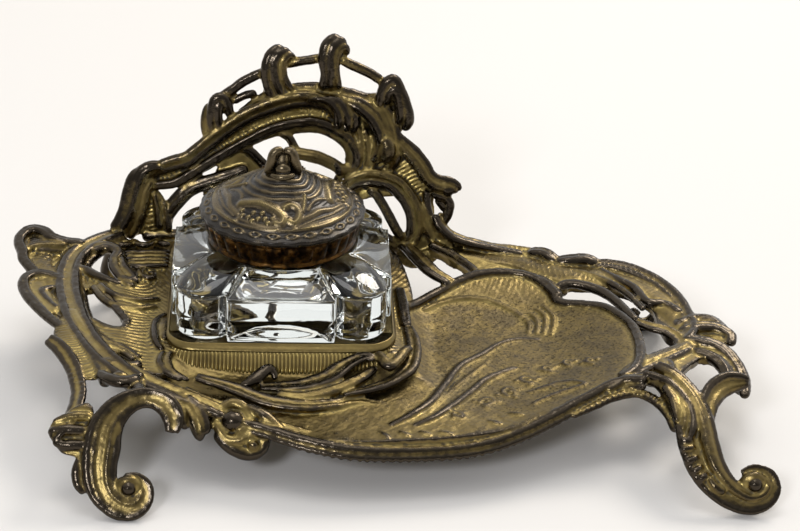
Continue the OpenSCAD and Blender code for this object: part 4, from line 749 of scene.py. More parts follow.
def feet_strands(cast):
    """Two front feet, each a long leg that ends in a volute with a small eye in its hollow,
    and two plainer back feet of one scroll each."""
    left_foot, right_foot = (-86, .0001), (-83, .00025)

    left = pen(cast, lambda places: on_foot(places, left_foot), up=FOOT_UP)
    right = pen(cast, lambda places: on_foot(places, right_foot), up=FOOT_UP)
    # Left front foot: top curl, wide channel between two rolls, volute
    cast.sheaf(on_foot([(-29.4, 24, 1.7, 0), (-29, 28, 2.9, .4), (-31, 31.6, 3, .8),
        (-35.2, 33.4, 2.7, 1), (-39.8, 32.8, 3, 1), (-44.2, 30, 3.7, .9), (-47.2, 25.4, 4.5, .6),
        (-48.2, 20, 4.9, .4), (-48.7, 15, 4.6, .4), (-48.2, 10, 4.2, .4), (-46, 6, 3.6, .4),
        (-42.6, 3.8, 3.3, .4), (-38.8, 3.8, 2.9, .4), (-36.4, 6.4, 2.5, .4), (-36.5, 9.6, 2.2, .4),
        (-39, 11.6, 1.9, .6), (-42, 11.4, 1.6, .8)], left_foot), [(.76, 0, .3, DARK),
        (.42, .06, .22, WORN), (0, -.24, .5, PLAIN), (-.42, .08, .22, PLAIN),
        (-.76, -.06, .3, DARK)], up=FOOT_UP, flat=.9)
    cast.strand([(-43, -45, -2.4, 2), (-42, -52, -1.8, 2.4), (-39.4, -57, -1.2, 2.4),
        (-38, -62, -.4, 2.2), (-37, -64.4, .2, 1.6)], tone=WORN)
    left(BRIGHT, (-45.6, 29, 1, .2), (-44.4, 25.6, 1.8, .4), (-45.2, 21.4, 1.7, .4),
        (-45.8, 17.6, .9, .2), flat=.6)
    # Side leaf: a shell with three rays, and a small leaf under it
    add_sheet(cast, [(-51, 31), (-55.6, 31), (-59, 28.4), (-62.2, 26.2), (-63, 24), (-61.6, 21.4),
        (-59.2, 18.6), (-55.8, 17.6), (-51, 18)], (-56, 24.4), GOLD, lambda x, y: .3 + 0 * x,
        lambda p: on_foot(np.insert(p, 2, 0, axis=1), left_foot)[:, :3])
    left(WORN, (-62.8, 24.2, .9, .6), (-59.4, 24.6, 1.5, .7), (-55.4, 24.6, 1.6, .6),
        (-51.4, 24, 1.2, .3))
    left(DARK, (-61.6, 21.4, .9, .6), (-58.4, 20.6, 1.4, .7), (-54.6, 20.6, 1.5, .6),
        (-51.4, 20.6, 1.1, .3))
    left(BRIGHT, (-61.8, 26.4, .8, .6), (-58.2, 27.8, 1.3, .7), (-54.4, 28.4, 1.4, .6),
        (-50.6, 28, 1.1, .3))
    left(WORN, (-54.2, 17.4, .9, 0), (-55, 13.6, 1.4, 0), (-54.6, 10.2, 1.3, 0),
        (-52.8, 7.4, .9, 0))
    # Right front foot: tapered leg with a bright ridge, volute
    cast.sheaf(on_foot([(102.4, 40.6, 3.2, -.4), (107.6, 37.4, 4.2, 0), (112, 32, 5, .2),
        (114.4, 26.4, 5.4, .3), (115.8, 20.6, 5.5, .3), (117.6, 15.4, 5.2, .3),
        (120.4, 10.8, 4.6, .3), (124.6, 7, 3.9, .3), (129.6, 4.9, 3.3, .4), (134, 6, 2.9, .4),
        (136, 9.2, 2.6, .4), (134.4, 12.4, 2.3, .4), (130.8, 13.4, 2, .5), (127.6, 12.2, 1.6, .6)],
        right_foot), [(.78, -.05, .28, DARK), (.4, -.2, .4, WORN), (0, -.1, .2, DARK),
        (-.4, .12, .32, GOLD), (-.78, -.06, .28, DARK)], up=FOOT_UP, flat=.85)
    # Lobe with two petals, the small ribs below it and the lowest petal
    right(DARK, (100, 39.6, 1.1, .8), (106, 37.6, 1.3, 1.2), (111, 33.4, 1.4, 1.5),
        (113.6, 29.2, 1.3, 1.5), (114, 25, 1.2, 1.3), (112.6, 21.6, .8, .9))
    right(GOLD, (105.6, 36.2, 1, .8), (108, 33, 1.4, 1.3), (109.2, 29.6, 1.4, 1.3),
        (109.6, 26.4, .8, .9))
    right(GOLD, (108.4, 34.6, .9, .9), (110.8, 31, 1.3, 1.3), (111.8, 27.6, 1.2, 1.3),
        (111.2, 24.4, .7, .9))
    for x, y, x2, y2, tone in ((110.2, 22.4, 114.2, 21.6, WORN), (110.4, 19.4, 114.6, 20, GOLD),
            (111.6, 16, 115.4, 17.4, WORN), (113.4, 13, 116.6, 15, GOLD),
            (115.2, 10.8, 118, 13, WORN)):
        right(tone, (x, y, .8, .9), ((x + x2) / 2, (y + y2) / 2 - .4, 1, 1.1), (x2, y2, .7, .7))
    right(GOLD, (118.4, 12.2, .8, .9), (119.8, 9.4, 1.3, 1.1), (122.8, 7.4, 1, .9))
    # Curled leaf beside the leg's top
    cast.sheaf(on_foot([(118.2, 26.6, 1.8, 0), (118.4, 31.2, 2.8, .2), (120, 34.8, 3.4, .4),
        (123.2, 37, 3.3, .6), (126.8, 37.6, 2.6, .6), (129.6, 37.4, 1.4, .4)], right_foot),
        [(-.62, .1, .42, WORN), (0, -.2, .5, DARK), (.42, .04, .34, GOLD), (.8, -.05, .24, WORN)],
        up=FOOT_UP, flat=.85)
    # Gold hollow of each volute, with its dark eye
    for foot, at, r in ((left_foot, (-41, 8.2, .4, .6), 4.1), (right_foot, (130.8, 9, .4, .6),
            4.2)):
        x, y, z, _ = on_foot([at], foot)[0]
        cast.ball((x, y + 1.4, z), (r, r * .5, r), tone=BRIGHT)
        cast.ball((x + .3, y - .2, z + 1), (r * .46, r * .42, r * .46), tone=DARK)
    # Back feet
    for scroll in ([(-46, 32, -1, 3), (-50, 35.6, -4, 3.3), (-53, 38.6, -10, 3.4),
            (-53.8, 40.6, -17, 3.3), (-51, 42, -22.6, 3), (-46.4, 41.6, -22.9, 2.7),
            (-43.8, 40.2, -19.5, 2.3), (-46, 39.4, -17, 1.8)], [(112, 13, -6, 3),
            (116, 17, -8, 3.3), (119, 21, -12, 3.3), (119.8, 23.8, -17.5, 3.1),
            (117, 25.6, -22.6, 2.9), (112.4, 25.1, -22.9, 2.7), (109.8, 23.8, -19.5, 2.3),
            (112, 23, -17, 1.8)]):
        cast.sheaf(scroll, [(-.55, 0, .5, WORN), (0, .15, .5, GOLD), (.55, 0, .5, WORN)],
            up=(0, .86, .5), flat=.95)


# ---- The sheets of the deck and the tray ----------------------------------------------

SHEET_T = 2.4
TRAY_MID = (62, -22)
DECK_MID = (-4, -8)
TRAY_OUTLINE = [(106, -22), (105, -11), (99, -1), (91, 3), (84, 6), (81, 15), (73, 21), (60, 20),
    (48, 12), (40, 3), (34, -6), (30, -16), (24, -30), (12, -42), (-2, -52), (-12, -60), (-4, -64),
    (8, -68), (22, -70), (36, -69), (50, -67), (64, -63), (74, -57), (84, -52), (94, -45),
    (102, -36)]
DECK_OUTLINE = [(36, -6), (40, 4), (38, 22), (33, 36), (20, 40), (0, 41), (-20, 40), (-38, 37),
    (-50, 30), (-51, 20), (-44, 12), (-43, 2), (-43, -10), (-44, -22), (-50, -32), (-42, -42),
    (-36, -52), (-24, -59), (-12, -62), (0, -53), (14, -43), (26, -31), (32, -16)]


def sheet_height(x, y):
    """Height of the sheet's top: -2 on the deck; in the tray lower by 4, plus 3 towards the
    middle of its dish, plus 3.5 towards the front, less 2.5 towards the right end. In front
    of the plinth it falls a little sooner."""
    sooner = 2.5 * ease(np.abs(x), 34, 24)
    lowered = np.maximum(ease(x, 30, 46) * ease(-y, -34, -4), ease(-y, 30 - sooner, 44 - sooner))
    d = np.hypot((x - TRAY_MID[0]) / 46, (y - TRAY_MID[1]) / 40)
    return -2 - lowered * (4 + 3 * (1 - ease(d, 0.35, 1.05))
                           + 3.5 * ease(-y, 30, 68) * ease(-x, -88, -60)
                           - 2.5 * ease(x, 74, 104))


def web_height(x, y):
    """Height of the webs between the left end's scrolls: 0.1, plus 1.8 towards the upper
    leaf's tip, less 1.9 towards the deck and 1.4 towards the front."""
    return (.1 + 1.8 * ease(-x, 64, 78) * ease(y, -10, 20) - 1.9 * ease(x, -48, -37)
            - 1.4 * ease(-y, 20, 48))


def back_height(x, y):
    """Height of the webs behind the tray: -4.8, plus 1.6 towards the back edge, less 1.2
    towards the right end."""
    return -4.8 + 1.6 * ease(y, 24, 35) - 1.2 * ease(x, 90, 118)


def end_height(x, y):
    """Height of the webs at the right end: -5.4, less 1 towards the leaf tips and 2.6
    towards the front at the lowest tip."""
    return -5.4 - ease(x, 112, 126) - 2.6 * ease(-y, 20, 40) * ease(x, 122, 132)


def add_sheet(cast, outline, middle, tone, height=sheet_height, place=None):
    """A closed plate: the outline shrunk in rings towards its middle, each point lifted to
    its height, with a copy of it one thickness below; then moved to its place."""
    closed = outline[-1:] + outline + outline[:2]
    ring = smooth_line([(x, y, 0) for x, y in closed], gap=1.5)[:, :2]
    start = np.argmin(np.linalg.norm(ring[:len(ring) // 2] - outline[0], axis=1))
    end = len(ring) // 2 + np.argmin(np.linalg.norm(ring[len(ring) // 2:] - outline[0], axis=1))
    ring = ring[start:end]
    m, rows = len(ring), 34
    share = (np.arange(1, rows + 1) / rows)[:, None, None]
    flat = (np.array(middle) + (ring - middle) * share).reshape(-1, 2)
    flat = np.vstack([flat, [middle]])
    top = np.column_stack([flat, height(flat[:, 0], flat[:, 1])])
    count = len(top)
    area = np.sum(ring[:, 0] * np.roll(ring[:, 1], -1) - np.roll(ring[:, 0], -1) * ring[:, 1])
    k = np.arange(m)
    fan = np.stack([np.full(m, count - 1), k, (k + 1) % m], -1)
    edge = (rows - 1) * m
    wall = np.stack([edge + k, edge + k + count, edge + (k + 1) % m + count,
                     edge + (k + 1) % m], -1)
    over = ring_squares(rows, m, flip=True) + fan.tolist()
    faces = over + [[v + count for v in reversed(f)] for f in over] + wall.tolist()
    if area < 0:
        faces = [f[::-1] for f in faces]
    points = np.vstack([top, top - [0, 0, SHEET_T]])
    cast.add(place(points) if place else points, faces, tone)


def gallery_webs(cast):
    """Plates between the gallery's rolls, behind them: the arch's channel, the crest's
    foot, the ribbed fan, the shoulder, the loop's hood, the post and the leaf by the lid."""
    for outline, middle, out, tone in (([(-38.8, 21), (-30.5, 22.9), (-23.8, 28.4), (-17, 34.7),
            (-11, 29), (-17.8, 24), (-25.3, 19.2), (-32, 16), (-39.6, 16)], (-26, 22.5), -.8, GOLD),
            ([(-19, 33), (-10.4, 40.1), (-2.9, 43.6), (7, 44.6), (9.4, 36.6), (1.7, 35.5),
            (-4.3, 32.4), (-13, 28), (-19, 25)], (-4, 37.3), -.8, GOLD), ([(4, 44.6), (13, 43.6),
            (20, 40), (24, 35), (23.4, 30), (20.6, 30.6), (16, 34), (10, 36), (4, 35.8)],
            (14, 39.5), -.8, GOLD), ([(-8, 40.6), (-5, 46), (0, 47.4), (7.5, 48.4), (13, 48.4),
            (18, 47.4), (23, 45.8), (22, 40), (14, 42), (6, 42.8), (-2, 41)], (9, 44.8), -.6,
            PLAIN), ([(20, 47), (25.5, 45.6), (31, 45.4), (35.6, 40), (37, 34), (33, 33), (27, 36),
            (21, 41)], (29.5, 40.5), -.6, PLAIN), ([(21, 36), (26, 37.6), (32, 33), (34, 27),
            (32, 20), (24, 18), (19.6, 20.6), (22.4, 28)], (27, 28), -.6, GOLD), ([(33, 29),
            (38, 29), (44.2, 23.6), (48.4, 18.6), (47.6, 13.6), (42.5, 12.6), (38, 17.6), (33, 21)],
            (41, 21), -.4, PLAIN), ([(42, 15), (47.4, 15), (46.9, 7.8), (47.7, 0), (48.4, -4.6),
            (44.3, -7), (39.5, -5), (42, -1), (43, 6)], (45, 4), -.4, PLAIN), ([(19.6, 15),
            (24, 19.4), (30.6, 19.8), (35.2, 17.7), (38.4, 13.6), (32, 12.8), (28, 12.4),
            (23.2, 11.6)], (29.4, 16.2), -.8, GOLD), ([(-46.3, 18.1), (-43.3, 20.4), (-39.6, 18.9),
            (-39.6, 14), (-42.4, 5), (-44, 0), (-52, -1.5), (-49.4, 4.8), (-47.1, 11)], (-44.6, 9),
            -.2, PLAIN), ([(-20, 22), (-15.8, 26.4), (-10.3, 27.6), (-6.5, 23.3), (-9, 18),
            (-17.7, 13.4), (-25, 12.5), (-22, 17.6)], (-15, 20), -.4, GOLD)):
        add_sheet(cast, outline, middle, tone, lambda x, y, out=out: out + 0 * x,
            lambda p: on_gallery(np.insert(p, 2, 0, axis=1))[:, :3])


# ---- From strands to one cast skin ----------------------------------------------------

def mesh_of(name, points, faces, smooth=True):
    """A mesh from points in the well's millimetres, turned to the frame's metres."""
    mesh = bpy.data.meshes.new(name)
    mesh.from_pydata(((np.asarray(points) + WELL) * MM).tolist(), [], faces)
    mesh.polygons.foreach_set("use_smooth", [smooth] * len(mesh.polygons))
    mesh.update()
    return mesh


def show(name, mesh):
    """An object for a mesh, linked to the scene."""
    piece = bpy.data.objects.new(name, mesh)
    bpy.context.scene.collection.objects.link(piece)
    return piece


def read_points(mesh):
    co = np.empty(len(mesh.vertices) * 3, np.float32)
    mesh.vertices.foreach_get("co", co)
    return co.reshape(-1, 3).astype(float)


def read_normals(mesh):
    n = np.empty(len(mesh.vertices) * 3, np.float32)
    mesh.vertex_normals.foreach_get("vector", n)
    return n.reshape(-1, 3).astype(float)


def write_points(mesh, co):
    mesh.vertices.foreach_set("co", co.astype(np.float32).ravel())
    mesh.update()


def write_value(mesh, name, value):
    layer = mesh.attributes.get(name) or mesh.attributes.new(name, "FLOAT", "POINT")
    layer.data.foreach_set("value", value.astype(np.float32))


def read_value(mesh, name):
    value = np.empty(len(mesh.vertices), np.float32)
    mesh.attributes[name].data.foreach_get("value", value)
    return value.astype(float)


def eased(values, edges, rounds, share=0.6):
    """Each value moved `share` of the way to the mean of its neighbours along the edges,
    over and over."""
    a, b = edges[:, 0], edges[:, 1]
    count = len(values)
    beside = np.bincount(np.concatenate([a, b]), minlength=count).astype(float)
    flat = values.reshape(count, -1).copy()
    for _ in range(rounds):
        total = np.stack([np.bincount(a, flat[b, c], count) + np.bincount(b, flat[a, c], count)
                          for c in range(flat.shape[1])], -1)
        flat += share * (total / beside[:, None] - flat)
    return flat.reshape(values.shape)


def fuse(cast, skin):
    """One skin round all the strands: their union on a grid of `skin` metres, then eased
    so that the grid's steps don't show. Each point keeps the tone of the nearest strand."""
    mesh = mesh_of("stand", np.vstack(cast.points), cast.faces)
    write_value(mesh, "tone", np.concatenate(cast.tones))
    stand = show("stand", mesh)
    bpy.context.view_layer.objects.active = stand
    stand.select_set(True)
    mesh.remesh_voxel_size = skin
    mesh.use_remesh_preserve_attributes = True
    mesh.use_remesh_preserve_volume = False
    mesh.use_remesh_fix_poles = False
    bpy.ops.object.voxel_remesh()
    mesh = stand.data
    edges = np.empty(len(mesh.edges) * 2, np.int32)
    mesh.edges.foreach_get("vertices", edges)
    edges = edges.reshape(-1, 2)
    co = read_points(mesh)
    for _ in range(2):
        co = eased(co, edges, 1, 0.5)
        co = eased(co, edges, 1, -0.53)
    co = eased(co, edges, 1, 0.35)
    write_points(mesh, co)
    write_value(mesh, "tone", eased(read_value(mesh, "tone"), edges, 3))
    return stand, edges


def hollow_of(co, edges, normal, rounds):
    """How hollow each place is, in millimetres: (eased place - place) . normal."""
    return np.sum((eased(co, edges, rounds) - co) * normal, axis=1) / MM


def lumps(x, y, z, size):
    """Uneven casting, from -1 to 1: sines along x, y and z, each bent by sines of the other
    two, multiplied together, with lumps about `size` across."""
    k = math.pi / size
    return (np.sin(k * x + 1.3 * np.sin(.61 * k * y) + .8 * np.sin(.43 * k * z))
            * np.sin(k * y + 1.1 * np.sin(.57 * k * z + 1) + .9 * np.sin(.37 * k * x))
            * np.sin(.9 * k * z + 1.2 * np.sin(.53 * k * x + 2) + .5))


def chase(stand, edges, tool_line):
    """Uneven casting all over, fine flowing lines on the deck and a hammered grain on the
    tray's floor, on faces that look up and lie on the sheet. Then two measures of how
    hollow each place is, (eased place - place) . normal, fine and broad."""
    mesh = stand.data
    co, normal = read_points(mesh), read_normals(mesh)
    x, y, z = (co / MM - WELL).T
    on_sheet = ease(normal[:, 2], 0.8, 0.97) * bump(z, sheet_height(x, y), 0.5)
    in_tray = np.maximum(ease(x, 30, 46) * ease(-y, -34, -4), ease(-y, 30, 44))
    inside = ease(np.hypot((x - TRAY_MID[0]) / 46, (y - TRAY_MID[1]) / 38), 1.05, 0.8)
    # Lines follow the deck's edge: their phase is the distance from a point behind the well
    reach = np.hypot(x - 6, (y - 26) * 1.05) + 1.1 * np.sin(.21 * x + .4) * np.sin(.17 * y)
    lines = 0.2 * np.abs(np.sin(math.pi * reach / (tool_line / MM))) - 0.12
    grain = 0.03 * (np.sin(2.9 * x + 1.3 * np.sin(1.7 * y)) * np.sin(3.1 * y + 1.1 * np.sin(1.9 * x))
                     + 0.7 * np.sin(5.3 * x + 2 * np.sin(2.3 * y) + 1) * np.sin(4.7 * y + 2))
    relief = on_sheet * ((1 - in_tray) * lines + in_tray * grain)
    # On the left end's webs they run round the hook of its scroll
    on_web = ease(-x, 35, 38) * ease(normal[:, 2], .7, .9) * bump(z, web_height(x, y), .8)
    reach = np.hypot(x + 44, y - 9) + .7 * np.sin(.3 * x) * np.sin(.23 * y)
    relief += on_web * (.24 * np.abs(np.sin(math.pi * reach / 1.7)) - .15)
    relief += .05 * lumps(x, y, z, 2.3) + .03 * lumps(y, z, x, 1.2) + .08 * lumps(z, x, y, 5)
    co += normal * (relief * MM)[:, None]
    write_points(mesh, co)
    normal = read_normals(mesh)
    # The material keeps gilding in these hollows and darkens the deepest with old polish and painted
    # shade
    write_value(mesh, "fine_hollow", hollow_of(co, edges, normal, 5))
    write_value(mesh, "broad_hollow", hollow_of(co, edges, normal, 42))
    write_value(mesh, "tray", in_tray * inside * ease(normal[:, 2], .6, .9))


def box_solid(low, high):
    """A closed box between two corners, in the well's millimetres."""
    x, y, z = np.meshgrid(*zip(low, high), indexing="ij")
    points = np.stack([x.ravel(), y.ravel(), z.ravel()], -1)
    return points, [[0, 1, 3, 2], [4, 6, 7, 5], [0, 4, 5, 1], [2, 3, 7, 6], [0, 2, 6, 4],
                    [1, 5, 7, 3]]


def half_space(at, out):
    """A big box whose flat side passes through `at` and faces against `out`."""
    out = Vector(out).normalized()
    turn = out.to_track_quat("Z", "Y").to_matrix()
    points, faces = box_solid((-400, -400, 0), (400, 400, 400))
    points = points @ np.array(turn).T + np.array(at)
    return show("cutter", mesh_of("cutter", points, faces, smooth=False))


def parted(piece, cutter, operation):
    """The mesh left when the cutter's inside is kept (INTERSECT) or taken (DIFFERENCE)."""
    cut = piece.modifiers.new("part", "BOOLEAN")
    cut.object, cut.operation, cut.solver = cutter, operation, "MANIFOLD"
    made = bpy.data.meshes.new_from_object(
        piece.evaluated_get(bpy.context.evaluated_depsgraph_get()))
    piece.modifiers.remove(cut)
    return made


def split_stand(stand, planes):
    """Parts the skin into closed pieces, one for each (name, point, direction): the piece
    is what lies beyond the point along the direction. What is left keeps its own name.
    Each point takes its normal and its looks from the whole skin's nearest point, so that
    light and colour run on over the cuts."""
    whole = read_points(stand.data)
    normals = read_normals(stand.data)
    looks = {name: read_value(stand.data, name)
             for name in ("tone", "fine_hollow", "broad_hollow", "tray")}
    tree = KDTree(len(whole))
    for i, place in enumerate(whole.tolist()):
        tree.insert(place, i)
    tree.balance()
    pieces = []
    for name, at, out in planes:
        cutter = half_space(at, out)
        pieces.append(show(name, parted(stand, cutter, "INTERSECT")))
        stand.data = parted(stand, cutter, "DIFFERENCE")
        bpy.data.objects.remove(cutter)
    pieces.append(stand)
    for piece in pieces:
        near = np.array([tree.find(place)[1] for place in read_points(piece.data).tolist()])
        piece.data.normals_split_custom_set_from_vertices(normals[near])
        for name, value in looks.items():
            write_value(piece.data, name, value[near])
    return pieces


# ---- Lathe-like pieces of the inkwell -------------------------------------------------

def closed_rows(rows):
    """Points and faces of a solid made of rings, each (n, 3), from its lowest pole round
    its outside to its last pole: neighbours are joined by squares and the two end rings by
    a fan to their own middle."""
    grid = np.stack(rows)
    n, m, _ = grid.shape
    points = np.vstack([grid.reshape(-1, 3), grid[0].mean(0), grid[-1].mean(0)])
    faces = ring_squares(n, m)
    k = np.arange(m)
    faces += np.stack([np.full(m, n * m), (k + 1) % m, k], -1).tolist()
    last = (n - 1) * m
    faces += np.stack([np.full(m, n * m + 1), last + k, last + (k + 1) % m], -1).tolist()
    return points, faces


def ring_solid(rows):
    """The same for a solid with a hole through it: the last ring joins the first."""
    grid = np.stack(rows)
    n, m, _ = grid.shape
    return grid.reshape(-1, 3), ring_squares(n, m, close=True)


def ring_at(a, r, z):
    """A ring of points at the angles a round the well's middle, r out and z up."""
    return np.stack([r * np.cos(a), r * np.sin(a), np.broadcast_to(z, a.shape)], -1)


def joined(*solids):
    """Several (points, faces) as one."""
    points, faces, count = [], [], 0
    for p, f in solids:
        points.append(p)
        faces += [[i + count for i in face] for face in f]
        count += len(p)
    return np.vstack(points), faces


def rounded_square(half, corner, count):
    """Points round a square with round corners, evenly spaced: a walk of the straight
    sides, 2 (half - corner) long, and the quarter arcs, pi corner / 2 long. Gives the
    points, their outward directions and the distance walked."""
    straight, arc = 2 * (half - corner), math.pi * corner / 2
    s = np.arange(count) / count * 4 * (straight + arc)
    quarter, s1 = np.divmod(s, straight + arc)
    t = np.clip(s1 / straight, 0, 1)
    a = np.clip((s1 - straight) / corner, 0, math.pi / 2)
    x = half - corner + corner * np.cos(a)
    y = -(half - corner) + straight * t + corner * np.sin(a)
    turn = quarter * math.pi / 2
    c, sn = np.cos(turn), np.sin(turn)
    nx, ny = np.cos(a), np.sin(a)
    return (np.stack([x * c - y * sn, x * sn + y * c], -1),
            np.stack([nx * c - ny * sn, nx * sn + ny * c], -1), s)


def plinth_solid(rib_pitch):
    """The hollow plinth: a smooth bevel over a band of upright half-round ribs, |sin| of
    the distance walked, that swells forwards at the front, most in the middle; a lip, the
    flat seat, and a hollow underneath. Gives how hollow each point is as well."""
    corner = 9
    around = 4 * (2 * (PLINTH_HALF - corner) + math.pi * corner / 2)
    ribs = int(around / rib_pitch / 4) * 4
    path, out, s = rounded_square(PLINTH_HALF, corner, ribs * 10)
    rib = np.abs(np.sin(math.pi * s / around * ribs))
    front = ease(-out[:, 1], .3, .95) * (3.1 + 2.6 * (1 - (path[:, 0] / 30) ** 2).clip(0))
    hollow = []

    def row(z, inset, ribbed=0.0, swell=0.0):
        depth = inset + ribbed * .62 * (1 - rib) - front * swell
        hollow.append(ribbed * (.5 - rib) * .24)
        return np.column_stack([path - out * depth[:, None], np.full(len(path), float(z))])

    rows = [row(-2.4, 29), row(-2.5, 3), row(-7, 2.5, 0, .4), row(-7.4, 1.5, 0, .8)]
    rows += [row(z, .15 + inset, ribbed, swell) for z, inset, ribbed, swell in
             ((-7.2, .3, .2, 1), (-6.8, .1, .7, 1.04), (-6.2, 0, 1, 1.04), (-5.4, 0, 1, .99),
              (-4.6, 0, 1, .9), (-3.8, 0, 1, .76), (-3, 0, 1, .58), (-2.4, 0, .9, .42),
              (-2, .05, .6, .31), (-1.75, .2, .15, .25))]
    rows += [row(-1.6, .25, 0, .23), row(-1.4, .1, 0, .22), row(-1.1, .02, 0, .16),
             row(-.8, .02, 0, .1), row(-.5, .14, 0, .05), row(-.15, .42), row(.2, .72),
             row(.36, .94), row(.3, 1.08), row(-.25, 1.12), row(-.3, 1.3), row(-.3, 30)]
    points, faces = closed_rows(rows)
    return points, faces, np.concatenate([*hollow, [0, 0]])


def glass_plan(theta, shrink=0.0):
    """Distance from the middle to the glass's wall: the greater of the flat side panels
    (half width / cos, then panel edge / sin) and the round corner lobes, circles of radius
    r whose edge is c cos t + sqrt(r^2 - c^2 sin^2 t) away, blended where they meet."""
    t = np.abs((theta + math.pi / 4) % (math.pi / 2) - math.pi / 4)
    half = GLASS_HALF - shrink
    side = np.minimum(half / np.cos(t), (PANEL_HALF - shrink) / np.maximum(np.sin(t), 1e-6))
    lobe_r, lobe_c = LOBE_R - shrink, LOBE_AT * math.sqrt(2)
    off = math.pi / 4 - t
    inside = lobe_r ** 2 - (lobe_c * np.sin(off)) ** 2
    lobe = np.where(inside > 0, lobe_c * np.cos(off) + np.sqrt(np.maximum(inside, 0)), 0)
    sharp = 6.0
    return np.log(np.exp(np.clip(sharp * (side - 30), -60, 60))
                  + np.exp(np.clip(sharp * (lobe - 30), -60, 60))) / sharp + 30


def glass_solid(bore, floor):
    """The pressed and cut glass block: wall, bevelled shoulder with a domed lobe on each
    corner, flanged neck, and the round ink bore."""
    count = 800
    theta = 2 * math.pi * np.arange(count) / count
    t = np.abs((theta + math.pi / 4) % (math.pi / 2) - math.pi / 4)
    lobe = ease(t, math.radians(27), math.radians(31))
    groove = bump(t, math.radians(28.8), math.radians(1.6))
    wall, neck = 14.5, 21.0
    shoulder = NECK_Z - wall

    def ring(r, z):
        return ring_at(theta, r, z)

    rows = [ring(1.0, 0), ring(12, 0), ring(24, 0)]
    rows += [ring(glass_plan(theta, .9 * (1 - math.sin(a)) + .02), .9 * (1 - math.cos(a)))
             for a in np.linspace(0, math.pi / 2, 5)]
    rows += [ring(glass_plan(theta), z) for z in np.linspace(1.6, wall - .7, 12)]
    edge = glass_plan(theta)
    for share in np.linspace(0, 1, 34)[1:]:
        bevel = np.clip((share - .02) / .86, 0, 1)
        dome = np.sin(np.clip(share / .8, 0, 1) * math.pi / 2) ** .8
        rise = (1 - lobe) * (bevel ** 1.05) + lobe * dome
        r = edge + (neck - edge) * share
        z = wall - .7 + (shoulder + .7) * rise - 1.1 * groove * (1 - share) * ease(share, 0, .15)
        rows.append(ring(r, z))
    top = GLASS_TOP
    rows += [ring(19.6, wall + shoulder + .02), ring(19, wall + shoulder + .3),
             ring(19, top - .5), ring(18.6, top - .08), ring(18.2, top), ring(bore + .8, top),
             ring(bore + .25, top - .2), ring(bore, top - .8)]
    rows += [ring(bore, z) for z in np.linspace(top - 3, floor + 3, 6)]
    rows += [ring(bore * math.cos(a) + .001, floor + 3 - 3 * math.sin(a))
             for a in np.linspace(.15, 1.45, 8)]
    points, faces = closed_rows(rows)
    return points, faces


def collar_flutes_solid(flutes):
    """A ring of upright flutes between the collar's two mouldings: its outer radius swells
    by |cos| of the angle times half the count."""
    count = flutes * 14
    a = 2 * math.pi * np.arange(count) / count
    swell = np.abs(np.cos(a * flutes / 2)) ** .8
    high = RIM_Z - .5 - NECK_Z

    def ring(r, share, ribbed=0.0):
        return ring_at(a, r + ribbed * swell, NECK_Z + high * share)

    rows = [ring(20.6, .01), ring(21.5, .01), ring(21.9, .06), ring(21.85, .13), ring(21.4, .18),
            ring(21.3, .21, .3), ring(21.4, .27, .6), ring(21.75, .42, .75), ring(22.15, .6, .75),
            ring(22.55, .76, .6), ring(22.8, .84, .25), ring(22.75, .88), ring(23.2, .93),
            ring(23.25, .98), ring(22.2, .99)]
    return ring_solid(rows)


def lid_top(r):
    """Height of the lid's slightly hollow cone at radius r: rise times (1 - r / rim)^1.05."""
    return RIM_Z + LID_T + CONE_RISE * (1 - np.clip(r / RIM_R, 0, 1)) ** 1.05


# Chased strokes on the lid's front, repeated three times round it: places (x, y), the
# stroke's half width and its height
LID_STROKES = (
    (((-12, -9), (-9.1, -10.3), (-6.4, -11.4), (-3.8, -13), (-1.8, -14.4), (-.2, -15.8),
      (.3, -17.2), (-.6, -18.3), (-2, -18)), 1.25, .85),
    (((-10.6, -11), (-8, -12.1), (-5.4, -13.2), (-3.4, -14.6), (-2.2, -16.2)), .5, .4),
    (((.6, -13.6), (2, -12.7), (3.8, -13.2), (4.9, -14.7), (4.6, -16.6), (3.2, -17.9),
      (1.7, -17.4)), 1.05, .85),
    (((6.4, -8.8), (6.2, -11.5), (5.8, -14)), .65, .7),
    (((3.6, -19.4), (4.9, -17), (8.2, -14.6), (10.8, -12), (14.6, -9.2), (17.4, -5)), .8, .5),
    (((3.4, -20.6), (8.2, -18), (13.1, -14.6), (17.4, -10), (19.6, -5.4), (18.4, -3.6)), .8, .5),
    (((5, -18.8), (9.5, -15.6), (14.4, -11.4), (18, -6)), .45, .4),
    (((7.4, -13), (8.6, -10.2), (10.6, -7.8), (13.4, -6), (16.2, -5)), .6, .3),
    (((-13.4, -12), (-12.2, -14.6), (-9.4, -16.8), (-5.6, -18.8), (-1.6, -19.9)), .7, .35))
LID_BERRIES = ((-11.7, -11.9), (-9.9, -14.9), (-8.4, -13.9), (-7, -16.2), (-5.8, -14.7),
               (-5, -16.6), (-4.2, -18), (-2.8, -16.8), (-11.6, -13.7), (-8.8, -16.4))


